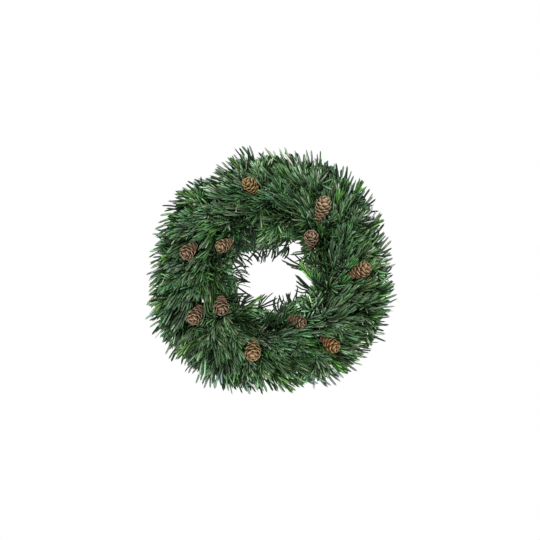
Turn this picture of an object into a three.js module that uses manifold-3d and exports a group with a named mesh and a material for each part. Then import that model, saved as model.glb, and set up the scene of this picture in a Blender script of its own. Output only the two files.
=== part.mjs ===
// Pinecone wreath: a welded two-rail steel ring, evergreen sprigs laid on it one after another in one
// direction and bound with wire, eleven pinecones wired on, and a wire loop at the top of the back.
// Millimetres. +Z is up, +X is right and the wreath faces -Y, so its back with the loop faces +Y.
// The origin is the point where a nail or hook carries the hanging loop.

import * as THREE from "three";
import { mergeVertices } from "three/addons/utils/BufferGeometryUtils.js";
import Module from "manifold-3d";

const wasm = await Module();
wasm.setup();

// ---------------------------------------------------------------- driving dimensions
const RING_R = 134; // middle of the bound core, measured from the axis of the wreath
const RAIL_OFFSET = 17; // each rail lies this far from the middle of the core
const RAIL_R = 1.7; // rail wire radius
const RAIL_V = -8; // rails lie behind the middle of the core
const BRACES = 8;
const BRACE_R = 1.5;

const TURNS = 28; // turns of the binding wire round the core
const BIND_R = 0.55; // binding wire radius
const BIND_A = 25; // half width of a turn, across the ring
const BIND_B = 14; // half depth of a turn

const STEM_R = 2.1; // cut stem of a sprig inside the binding
const CONE_WIRE_R = 0.8;
const GAP = 0.6; // air kept between separate pieces

const FRONT_REACH = 68; // how far the greenery stands in front of the core's middle
const LOOP_R = 8.5; // inside radius of the hanging loop
const LOOP_WIRE_R = 0.9;

// Radius of the greenery's outer edge every 30 degrees, counterclockwise from +X.
const OUTER_EDGE = [229, 224, 222, 218, 213, 226, 234, 233, 221, 217, 226, 229];
// The hole: an oval a little below the middle of the ring.
const HOLE = { x: 0, z: -12, a: 54, b: 42 };

// Rows of sprigs: direction in the section (0 outwards, 90 to the front, 180 into the hole), half
// width of the row's sector, number of sprigs, angle of the first one, sideways sweep per mm outwards.
const ROWS = [
  { name: "outer_sprig", phi: -2, half: 31, count: 11, first: 8, sweep: 0.62 },
  { name: "shoulder_sprig", phi: 52, half: 21, count: 9, first: 24, sweep: 0.62 },
  { name: "front_sprig", phi: 98, half: 23, count: 8, first: 2, sweep: 0.6 },
  { name: "inner_sprig", phi: 158, half: 34, count: 7, first: 30, sweep: 0.42 },
];

// Pinecones: centre seen from the front [x, z], way the tip points [x, y, z], length, width.
const CONES = [
  { at: [-31.5, 144], tip: [-0.5, -0.68, 0.52], length: 42, width: 25 },
  { at: [90, 104], tip: [0.22, -0.62, 0.75], length: 55, width: 28 },
  { at: [71.5, 52.8], tip: [0.0, -0.86, 0.5], length: 44, width: 26 },
  { at: [154.5, -2], tip: [0.74, -0.56, 0.38], length: 46, width: 28 },
  { at: [-78.5, 44], tip: [-0.52, -0.76, -0.33], length: 40, width: 24.5 },
  { at: [-139.5, 34], tip: [-0.44, -0.74, -0.5], length: 42, width: 27 },
  { at: [-128, -76.8], tip: [-0.32, -0.72, -0.6], length: 42, width: 27 },
  { at: [-84.5, -61], tip: [0.03, -0.76, -0.65], length: 39, width: 28 },
  { at: [-29.3, -136.4], tip: [-0.03, -0.74, -0.67], length: 48, width: 29 },
  { at: [47.3, -87.9], tip: [0.68, -0.66, -0.32], length: 37, width: 22.5 },
  { at: [103.2, -127], tip: [0.64, -0.6, -0.48], length: 42, width: 25.5 },
];

// ---------------------------------------------------------------- materials
const mat = (color, roughness, metalness = 0) =>
  new THREE.MeshStandardMaterial({ color, roughness, metalness });
const MATERIALS = {
  frame: mat(0x24402c, 0.45, 0.6),
  binding: mat(0x2c4a33, 0.4, 0.7),
  loop: mat(0x6f7470, 0.35, 0.9),
  coneWire: mat(0x5b4a36, 0.5, 0.7),
  cone: mat(0x8b6f4e, 0.8),
  sprig: mat(0x35553a, 0.6),
};

// ---------------------------------------------------------------- helpers
const rad = THREE.MathUtils.degToRad;

// A point of the ring: angle round the wreath, offset outwards u, offset to the front v.
const ringPoint = (theta, u, v) =>
  new THREE.Vector3((RING_R + u) * Math.cos(theta), -v, (RING_R + u) * Math.sin(theta));

// A point of the section by distance and direction; behind the core the greenery lies flat.
const BACK_FLAT = 0.42;
function sectionPoint(theta, rho, phi) {
  const u = rho * Math.cos(phi);
  let v = rho * Math.sin(phi);
  if (v < 0) v *= BACK_FLAT;
  return ringPoint(theta, u, v);
}

// A closed loop of the table, read with a smooth blend between its entries.
function outerEdge(theta) {
  const n = OUTER_EDGE.length;
  const t = ((((theta / (2 * Math.PI)) * n) % n) + n) % n;
  const i = Math.floor(t);
  const f = (1 - Math.cos((t - i) * Math.PI)) / 2;
  return OUTER_EDGE[i] * (1 - f) + OUTER_EDGE[(i + 1) % n] * f;
}

// Radius of the hole's edge at an angle.
function holeEdge(theta) {
  let lo = 5,
    hi = 120;
  for (let i = 0; i < 40; i++) {
    const m = (lo + hi) / 2;
    const x = (m * Math.cos(theta) - HOLE.x) / HOLE.a;
    const z = (m * Math.sin(theta) - HOLE.z) / HOLE.b;
    if (x * x + z * z < 1) lo = m;
    else hi = m;
  }
  return lo;
}

// How far the greenery reaches from the core's middle.
function reach(theta, phi) {
  const c = Math.cos(phi),
    s = Math.sin(phi);
  const across = c >= 0 ? outerEdge(theta) - RING_R : RING_R - holeEdge(theta);
  return 1 / Math.hypot(c / across, s / (s >= 0 ? FRONT_REACH : 60));
}

// Distance from the core's middle to the binding in a direction.
const bindingRho = (phi) =>
  1 /
  Math.cbrt(
    Math.abs(Math.cos(phi) / BIND_A) ** 3 + Math.abs(Math.sin(phi) / BIND_B) ** 3,
  );

function solid(geometry) {
  const g = geometry.index ? geometry.toNonIndexed() : geometry.clone();
  g.deleteAttribute("normal");
  g.deleteAttribute("uv");
  const m = mergeVertices(g, 1e-3);
  const tri = [];
  const idx = m.index.array;
  for (let i = 0; i < idx.length; i += 3)
    if (idx[i] !== idx[i + 1] && idx[i + 1] !== idx[i + 2] && idx[i] !== idx[i + 2])
      tri.push(idx[i], idx[i + 1], idx[i + 2]);
  const make = (t) =>
    new wasm.Manifold(
      new wasm.Mesh({
        numProp: 3,
        vertProperties: new Float32Array(m.attributes.position.array),
        triVerts: new Uint32Array(t),
      }),
    );
  let made = make(tri);
  if (made.volume() < 0) {
    for (let i = 0; i < tri.length; i += 3) [tri[i + 1], tri[i + 2]] = [tri[i + 2], tri[i + 1]];
    made = make(tri);
  }
  return made;
}

function geometryOf(made) {
  const m = made.getMesh();
  const positions = new Float32Array(m.numVert * 3);
  for (let i = 0; i < m.numVert; i++)
    positions.set(m.vertProperties.subarray(i * m.numProp, i * m.numProp + 3), i * 3);
  const g = new THREE.BufferGeometry();
  g.setAttribute("position", new THREE.BufferAttribute(positions, 3));
  g.setIndex(new THREE.BufferAttribute(new Uint32Array(m.triVerts), 1));
  g.computeVertexNormals();
  return g;
}

function largest(made) {
  const bodies = made.decompose();
  return bodies.reduce((a, b) => (b.volume() > a.volume() ? b : a));
}

// A curve through given points that is sampled exactly at them.
class Polyline extends THREE.Curve {
  constructor(points) {
    super();
    this.points = points;
  }
  getPoint(t) {
    const n = this.points.length - 1;
    const x = Math.min(Math.max(t, 0), 1) * n;
    const i = Math.min(Math.floor(x + 1e-9), n - 1);
    return this.points[i].clone().lerp(this.points[i + 1], x - i);
  }
  getPointAt(t) {
    return this.getPoint(t);
  }
  getTangentAt(t) {
    const n = this.points.length - 1;
    const i = Math.round(t * n);
    return this.points[Math.min(i + 1, n)].clone().sub(this.points[Math.max(i - 1, 0)]).normalize();
  }
}

function disc(radius, sides) {
  const s = new THREE.Shape();
  for (let i = 0; i < sides; i++) {
    const a = ((i + 0.5) / sides) * 2 * Math.PI;
    if (i === 0) s.moveTo(radius * Math.cos(a), radius * Math.sin(a));
    else s.lineTo(radius * Math.cos(a), radius * Math.sin(a));
  }
  s.closePath();
  return s;
}

const tube = (points, radius, sides) =>
  new THREE.ExtrudeGeometry(disc(radius, sides), {
    steps: points.length - 1,
    bevelEnabled: false,
    extrudePath: new Polyline(points),
  });

const smooth = (points, steps) => new THREE.CatmullRomCurve3(points, false, "centripetal").getPoints(steps);

function resample(points, spacing) {
  const out = [points[0].clone()];
  for (let i = 1; i < points.length; i++) {
    const n = Math.max(1, Math.ceil(points[i - 1].distanceTo(points[i]) / spacing));
    for (let k = 1; k <= n; k++) out.push(points[i - 1].clone().lerp(points[i], k / n));
  }
  return out;
}

// Pieces already laid in the core, as chains of points with a radius.
const laid = [];
const keep = (points, radius) => laid.push({ points: resample(points, 1.5), radius });
function clearance(points, radius) {
  let worst = Infinity;
  const mine = resample(points, 1.5);
  const box = new THREE.Box3().setFromPoints(mine).expandByScalar(radius + 6);
  for (const other of laid) {
    other.box ??= new THREE.Box3().setFromPoints(other.points);
    if (!box.intersectsBox(other.box)) continue;
    const limit = radius + other.radius;
    for (const p of mine)
      for (const q of other.points) {
        const dx = p.x - q.x;
        if (dx > 8 || dx < -8) continue;
        const d = Math.hypot(dx, p.y - q.y, p.z - q.z) - limit;
        if (d < worst) worst = d;
      }
  }
  return worst;
}

const group = new THREE.Group();
const pieces = [];
const put = (name, made, material) => pieces.push({ name, made, material });

// ---------------------------------------------------------------- ring frame
// Two round rails with short braces welded between them.
const railRadii = [RING_R + RAIL_OFFSET, RING_R - RAIL_OFFSET];
let frame = null;
for (const r of railRadii) {
  const rail = new THREE.TorusGeometry(r, RAIL_R, 5, 44);
  rail.rotateX(Math.PI / 2);
  rail.translate(0, -RAIL_V, 0);
  frame = frame ? frame.add(solid(rail)) : solid(rail);
  const line = [];
  for (let i = 0; i <= 180; i++) {
    const a = (i / 180) * 2 * Math.PI;
    line.push(new THREE.Vector3(r * Math.cos(a), -RAIL_V, r * Math.sin(a)));
  }
  keep(line, RAIL_R);
}
for (let i = 0; i < BRACES; i++) {
  const a = ((i + 0.5) / BRACES) * 2 * Math.PI;
  const brace = new THREE.CylinderGeometry(BRACE_R, BRACE_R, 2 * RAIL_OFFSET, 5);
  brace.rotateZ(Math.PI / 2);
  brace.translate(RING_R, -RAIL_V, 0);
  brace.rotateY(-a);
  frame = frame.add(solid(brace));
  keep([ringPoint(a, -RAIL_OFFSET, RAIL_V), ringPoint(a, RAIL_OFFSET, RAIL_V)], BRACE_R);
}
put("ring_frame", frame, MATERIALS.frame);

// ---------------------------------------------------------------- binding wire
// One wire wound round rails and stems all the way round; its two ends lie apart at the bottom.
const BIND_STEPS = 10;
const pitch = (2 * Math.PI) / TURNS;
const bindStart = -Math.PI / 2 + 0.25 * pitch;
function bindingPoint(k) {
  const phi = (k / BIND_STEPS) * 2 * Math.PI + Math.PI / 2;
  const rho = bindingRho(phi);
  return ringPoint(bindStart + (k / BIND_STEPS) * pitch, rho * Math.cos(phi), rho * Math.sin(phi));
}
const bindPoints = [];
for (let k = 0; k <= BIND_STEPS * TURNS - 5; k++) bindPoints.push(bindingPoint(k));
put("binding_wire", solid(tube(bindPoints, BIND_R, 3)), MATERIALS.binding);
keep(bindPoints, BIND_R);

// ---------------------------------------------------------------- hanging loop
// A bent wire: one wrap round the outer rail, up, over in a round loop, down, and another wrap.
const railX = RING_R + RAIL_OFFSET;
const wrapR = RAIL_R + LOOP_WIRE_R + 0.35;
const loopY = -RAIL_V + wrapR + 5.2;
const loopTop = railX + 27;
const loopPoints = [];
const wrap = (side, a, shift) =>
  new THREE.Vector3(
    side * (6.4 - shift),
    -RAIL_V + wrapR * Math.cos(a),
    railX + wrapR * Math.sin(a),
  );
for (let i = 0; i <= 5; i++) loopPoints.push(wrap(-1, rad(80 - i * 62), (i / 5) * 2.2));
loopPoints.push(new THREE.Vector3(-4.6, loopY - 1.6, railX + 8));
for (let i = 0; i <= 8; i++) {
  const a = Math.PI * (1.18 - (i / 8) * 1.36);
  loopPoints.push(
    new THREE.Vector3(
      (LOOP_R + LOOP_WIRE_R) * Math.cos(a),
      loopY,
      loopTop - LOOP_WIRE_R - (LOOP_R + LOOP_WIRE_R) * (1 - Math.sin(a)),
    ),
  );
}
loopPoints.push(new THREE.Vector3(4.6, loopY - 1.6, railX + 8));
for (let i = 5; i >= 0; i--) loopPoints.push(wrap(1, rad(80 - i * 62), (i / 5) * 2.2));
const loopLine = smooth(loopPoints, 34);
put("hanging_loop", solid(tube(loopLine, LOOP_WIRE_R, 5)), MATERIALS.loop);
keep(loopLine, LOOP_WIRE_R);
// The inside of the loop's top rests on a nail here.
const hangPoint = new THREE.Vector3(0, loopY, loopTop - LOOP_WIRE_R * 2);

// ---------------------------------------------------------------- pinecones
// Tiers of scales on an egg shape that is thickest towards its blunt tip, with a neck at the base
// for its wire.
const CONE_TIERS = 6;
const CONE_SIDES = 10;
const CONE_OUTLINE = [[0, 0.42], [0.12, 0.52], [0.3, 0.72], [0.5, 0.91], [0.68, 1], [0.82, 0.94], [0.92, 0.72], [1, 0.24]];
const coneProfile = (t) => {
  const i = Math.max(1, CONE_OUTLINE.findIndex((q) => q[0] >= t));
  const [[t0, r0], [t1, r1]] = [CONE_OUTLINE[i - 1], CONE_OUTLINE[i]];
  return r0 + ((r1 - r0) * (t - t0)) / (t1 - t0);
};
function coneGeometry(length, width, grow = 0) {
  const points = [new THREE.Vector2(0, -grow)];
  const rings = [];
  const add = (r, z, tier) => {
    points.push(new THREE.Vector2(r + grow, z));
    rings.push(tier);
  };
  if (grow > 0) {
    add(width * 0.3, -grow * 0.7, -1);
    add(width * 0.35, length * 0.14, -1);
    add(width * 0.46, length * 0.36, -1);
    add(width * 0.5, length * 0.58, -1);
    add(width * 0.5, length * 0.8, -1);
    add(width * 0.45, length * 0.94, -1);
    add(width * 0.24, length, -1);
  } else {
    add(width * 0.24, 0, -1);
    add(width * 0.2, 2.4, -1);
    add(width * 0.2, 4.4, -1);
    for (let i = 0; i < CONE_TIERS; i++) {
      const t = i / (CONE_TIERS - 1);
      const z = 5.4 + t * (length - 12);
      const r = (width / 2) * coneProfile((z + (length - 12) * 0.04) / length);
      add(r * 0.8, z, i);
      add(r, z + (length - 12) * 0.085, i);
    }
    add(width * 0.22, length - 2, -1);
  }
  points.push(new THREE.Vector2(0, length + grow));
  const g = new THREE.LatheGeometry(points, CONE_SIDES);
  // Scales of one tier stand between those of the next, so the rim of each tier is a star.
  const p = g.attributes.position;
  for (let s = 0; s <= CONE_SIDES; s++)
    for (let j = 0; j < points.length; j++) {
      const tier = j > 0 && j <= rings.length ? rings[j - 1] : -1;
      if (tier < 0) continue;
      const k = s * points.length + j;
      const f = (s + tier) % 2 ? 0.9 : 1;
      p.setXYZ(k, p.getX(k) * f, p.getY(k), p.getZ(k) * f);
    }
  return g;
}
const coneSolids = [];
const coneRooms = [];
const coneFrames = CONES.map((c) => {
  const axis = new THREE.Vector3(...c.tip).normalize();
  const r = Math.hypot(...c.at);
  const u = r - RING_R;
  const across = u >= 0 ? 84 : 80;
  const v = (FRONT_REACH + 1) * Math.sqrt(Math.max(0.2, 1 - (u / across) ** 2)) - 11;
  const centre = new THREE.Vector3(c.at[0], -v, c.at[1]);
  const base = centre.clone().addScaledVector(axis, -c.length / 2);
  const turn = new THREE.Quaternion().setFromUnitVectors(new THREE.Vector3(0, 1, 0), axis);
  const matrix = new THREE.Matrix4().compose(base, turn, new THREE.Vector3(1, 1, 1));
  return { ...c, axis, centre, base, matrix, theta: Math.atan2(c.at[1], c.at[0]) };
});
coneFrames.forEach((c, i) => {
  const made = solid(coneGeometry(c.length, c.width).applyMatrix4(c.matrix));
  const room = solid(coneGeometry(c.length, c.width, 1.0).applyMatrix4(c.matrix));
  coneSolids.push(made);
  coneRooms.push(room);
  put(`pinecone_${String(i + 1).padStart(2, "0")}`, made, MATERIALS.cone);
});

// ---------------------------------------------------------------- cone wires
// A wire loop in the neck of each cone, with a leg that runs down between two turns of the binding.
const wireRooms = [];
const midTurn = (phi, near) => {
  // the angle midway between two turns of the binding, nearest to a wanted one
  const at = (phi - Math.PI / 2) / (2 * Math.PI);
  const k = Math.round((near - bindStart) / pitch - at - 0.5);
  return bindStart + (k + at + 0.5) * pitch;
};
coneFrames.forEach((c, i) => {
  const neckR = c.width * 0.2 + 0.4 + CONE_WIRE_R * 0.9;
  const neck = new THREE.TorusGeometry(neckR, CONE_WIRE_R * 0.8, 4, 9);
  neck.rotateX(Math.PI / 2);
  neck.translate(0, 3.3, 0);
  neck.applyMatrix4(c.matrix);
  // side of the neck that looks most to the core
  const towards = ringPoint(c.theta, 0, 4).sub(c.base);
  const side = towards.clone().addScaledVector(c.axis, -towards.dot(c.axis)).normalize();
  const start = c.base.clone().addScaledVector(c.axis, 3.3).addScaledVector(side, neckR);
  const past = c.base
    .clone()
    .addScaledVector(c.axis, -3.5)
    .addScaledVector(side, Math.max(neckR, c.width * 0.24 + 2));
  const baseR = Math.hypot(past.x, past.z) - RING_R;
  const basePhi = Math.atan2(-past.y, baseR);
  const baseTheta = Math.atan2(past.z, past.x);
  let best = null;
  for (const dt of [0, 1, -1, 2, -2])
    for (const dp of [0, 0.15, -0.15, 0.3, -0.3, 0.45, -0.45])
      for (const end of [7.5, 9, 6, 4.5, 3]) {
        const phi = Math.min(Math.max(basePhi + dp, 0.35), 2.8);
        const theta = midTurn(phi, baseTheta - 0.1 + dt * pitch);
        const out = sectionPoint(theta, bindingRho(phi) + 3.5, phi);
        const inner = sectionPoint(theta, end, phi);
        const line = smooth([start, past, out, inner], 6);
        const room = clearance(line.slice(2), CONE_WIRE_R);
        const score = Math.min(room, 1.4) - 0.02 * (Math.abs(dt) + Math.abs(dp));
        if (!best || score > best.score) best = { score, room, line };
      }
  if (best.room < GAP) console.error(`cone wire ${i + 1} has ${best.room.toFixed(2)} mm of room`);
  const leg = solid(tube(best.line, CONE_WIRE_R, 4));
  const made = solid(neck).add(leg);
  keep(best.line, CONE_WIRE_R);
  wireRooms.push(solid(tube(best.line, CONE_WIRE_R + 1.0, 4)).add(solid(
    new THREE.TorusGeometry(neckR, CONE_WIRE_R * 0.8 + 1.0, 4, 9)
      .rotateX(Math.PI / 2)
      .translate(0, 3.3, 0)
      .applyMatrix4(c.matrix),
  )));
  put(`cone_wire_${String(i + 1).padStart(2, "0")}`, made, MATERIALS.coneWire);
});

// ---------------------------------------------------------------- sprigs
// Each is a cut stem under the binding that comes out between two turns and carries a fan of needled
// shoots. The fan is a closed star-shaped plume, swept round the ring like its neighbours.
const PLUME_SIDES = 12;
const S = [0, 0.08, 0.3, 0.5, 1, 0.44, 0.92];
const W = [0, 0.55, 0.9, 1, 0.9, 0.34, 0];

// A fixed, even spread of values between 0 and 1, so no two sprigs are the same.
const vary = (a, b = 0) => {
  const x = Math.sin(a * 127.1 + b * 311.7 + 11.3) * 43758.5453;
  return x - Math.floor(x);
};
const square = (x) => Math.sign(x) * Math.pow(Math.abs(x), 0.72);

function plume(row, theta0, rhoBase, seed) {
  const g = new THREE.SphereGeometry(1, PLUME_SIDES, S.length - 1);
  const p = g.attributes.position;
  const phi0 = rad(row.phi);
  const halfTheta = (Math.PI / row.count) * 0.95;
  const halfPhi = rad(row.half) * 0.95;
  for (let j = 0; j < S.length; j++)
    for (let i = 0; i <= PLUME_SIDES; i++) {
      const k = j * (PLUME_SIDES + 1) + i;
      const n = i % PLUME_SIDES;
      const a = ((n + 0.25) / PLUME_SIDES) * 2 * Math.PI;
      const point = n % 2 === 0;
      let s = S[j];
      let w = W[j] * (point ? 1 : 0.82);
      // six side shoots stand round the middle one, each with a pointed end
      if (j === 3) s += point ? 0.1 : -0.04;
      if (j === 4) {
        s = point ? 0.88 + 0.16 * vary(seed, n) : 0.5 + 0.08 * vary(seed, n);
        w = point ? 0.72 + 0.26 * vary(n, seed) : 0.66;
      }
      const dTheta = halfTheta * w * square(Math.cos(a));
      const dPhi = halfPhi * w * square(Math.sin(a));
      const phi = phi0 + dPhi;
      const rho = rhoBase + s * (reach(theta0, phi) - rhoBase);
      const r = Math.max(70, RING_R + rho * Math.cos(phi0));
      const theta = theta0 + dTheta + (row.sweep * (rho - rhoBase)) / r;
      const q = sectionPoint(theta, rho, phi);
      p.setXYZ(k, q.x, q.y, q.z);
    }
  return g;
}

const sprigs = [];
for (const row of ROWS) {
  const phi0 = rad(row.phi);
  const rhoBase = bindingRho(phi0) + 3.2;
  for (let i = 0; i < row.count; i++) {
    const theta0 = rad(row.first) + (i / row.count) * 2 * Math.PI;
    sprigs.push({ row, i, theta0, phi0, rhoBase });
  }
}
const LANES = [];
for (const v of [7.5, 2.4, -2.4]) for (const u of [0, 5.2, -5.2, 10.4, -10.4, 15.2, -15.2]) LANES.push([u, v]);

for (const s of sprigs) {
  const { row, theta0, phi0, rhoBase } = s;
  let best = null;
  // where the plume's own middle line runs
  const middle = (t) => {
    const span = reach(theta0, phi0) - rhoBase;
    const rho = rhoBase + t * span;
    const r = Math.max(70, RING_R + rho * Math.cos(phi0));
    return sectionPoint(theta0 + (row.sweep * (rho - rhoBase)) / r, rho, phi0);
  };
  for (const dt of [0, -1, 1])
    for (const [u, v] of LANES)
      for (const back of [0.34, 0.27, 0.42]) {
        const exit = midTurn(phi0, theta0 + dt * pitch * 0.5);
        const rho0 = bindingRho(phi0);
        const enter = rho0 * 0.62;
        const points = [
          ringPoint(exit - back, u, v),
          ringPoint(exit - back * 0.55, u, v),
          ringPoint(
            exit - 0.085,
            u * 0.5 + enter * Math.cos(phi0) * 0.5,
            v * 0.5 + enter * Math.sin(phi0) * (Math.sin(phi0) < 0 ? BACK_FLAT : 1) * 0.5,
          ),
          sectionPoint(exit, rho0 + 1.0, phi0),
          middle(0.2),
          middle(0.4),
        ];
        const line = smooth(points, 8);
        const inside = line.slice(0, 6);
        const room = clearance(inside, STEM_R);
        const score =
          Math.min(room, 1.0) - 0.05 * Math.abs(exit - theta0) * RING_R * 0.1 - 0.1 * Math.abs(dt);
        if (!best || score > best.score) best = { score, room, line, inside };
      }
  if (best.room < 0.35)
    console.error(`${row.name} ${s.i + 1}: its stem has only ${best.room.toFixed(2)} mm of room`);
  keep(best.inside, STEM_R);
  s.line = best.line;
}

for (const s of sprigs) {
  s.stem = solid(tube(s.line, STEM_R, 5));
  s.stemRoom = solid(tube(s.line, STEM_R + 0.9, 5));
  s.plume = solid(plume(s.row, s.theta0, s.rhoBase, sprigs.indexOf(s) + 1));
}
for (const s of sprigs) {
  let made = s.plume.add(s.stem);
  const box = made.boundingBox();
  const near = (other) => {
    const b = other.boundingBox();
    return [0, 1, 2].every((k) => b.min[k] < box.max[k] && b.max[k] > box.min[k]);
  };
  for (const room of [...coneRooms, ...wireRooms]) if (near(room)) made = made.subtract(room);
  for (const o of sprigs) if (o !== s && near(o.stemRoom)) made = made.subtract(o.stemRoom);
  made = largest(made);
  if (made.simplify) made = made.simplify(0.02);
  s.made = made;
  put(`${s.row.name}_${String(s.i + 1).padStart(2, "0")}`, made, MATERIALS.sprig);
}

// ---------------------------------------------------------------- assembly
for (const { name, made, material } of pieces) {
  const mesh = new THREE.Mesh(geometryOf(made), material);
  mesh.name = name;
  group.add(mesh);
}
group.position.set(-hangPoint.x, -hangPoint.y, -hangPoint.z);

export default group;
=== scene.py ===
"""Looks of the pinecone wreath: needled sprigs, pinecones, ring, binding wire and hanging loop, with
soft studio light. Lengths in the tables below are in millimetres from the middle of the ring: +X right,
+Z up, and the wreath faces -Y."""

import math

import bpy
import numpy as np
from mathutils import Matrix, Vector


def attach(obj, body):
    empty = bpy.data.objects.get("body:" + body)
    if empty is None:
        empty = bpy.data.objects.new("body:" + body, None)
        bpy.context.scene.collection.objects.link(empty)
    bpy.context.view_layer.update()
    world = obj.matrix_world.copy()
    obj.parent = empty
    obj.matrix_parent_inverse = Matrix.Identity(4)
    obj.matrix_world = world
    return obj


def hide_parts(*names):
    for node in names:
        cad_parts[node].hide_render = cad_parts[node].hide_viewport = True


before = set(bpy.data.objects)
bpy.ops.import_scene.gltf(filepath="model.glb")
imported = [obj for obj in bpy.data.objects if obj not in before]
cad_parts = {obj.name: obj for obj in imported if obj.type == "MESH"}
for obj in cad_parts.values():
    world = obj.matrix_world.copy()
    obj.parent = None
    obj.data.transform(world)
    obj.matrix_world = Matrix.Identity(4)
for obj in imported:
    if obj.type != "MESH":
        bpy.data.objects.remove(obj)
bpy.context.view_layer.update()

# ---------------------------------------------------------------- sizes, as in the model
HANG = np.array([0.0, 16.15, 176.2])  # the hanging point, from the middle of the ring
RING_R = 134.0
RAIL_OFFSET = 17.0
RAIL_R = 1.7
RAIL_V = -8.0
BRACES = 8
TURNS = 28
BIND_R = 0.55
BIND_A, BIND_B = 25.0, 14.0
BIND_STEPS = 10
STEM_R = 2.1
LOOP_WIRE_R = 0.9
FRONT_REACH = 68.0
BACK_FLAT = 0.42
OUTER_EDGE = [229, 224, 222, 218, 213, 226, 234, 233, 221, 217, 226, 229]
HOLE = (0.0, -12.0, 54.0, 42.0)
ROWS = {
    "outer_sprig": dict(phi=-2, half=31, count=11, first=8, sweep=0.62),
    "shoulder_sprig": dict(phi=52, half=21, count=9, first=24, sweep=0.62),
    "front_sprig": dict(phi=98, half=23, count=8, first=2, sweep=0.6),
    "inner_sprig": dict(phi=158, half=34, count=7, first=30, sweep=0.42),
}
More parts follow.
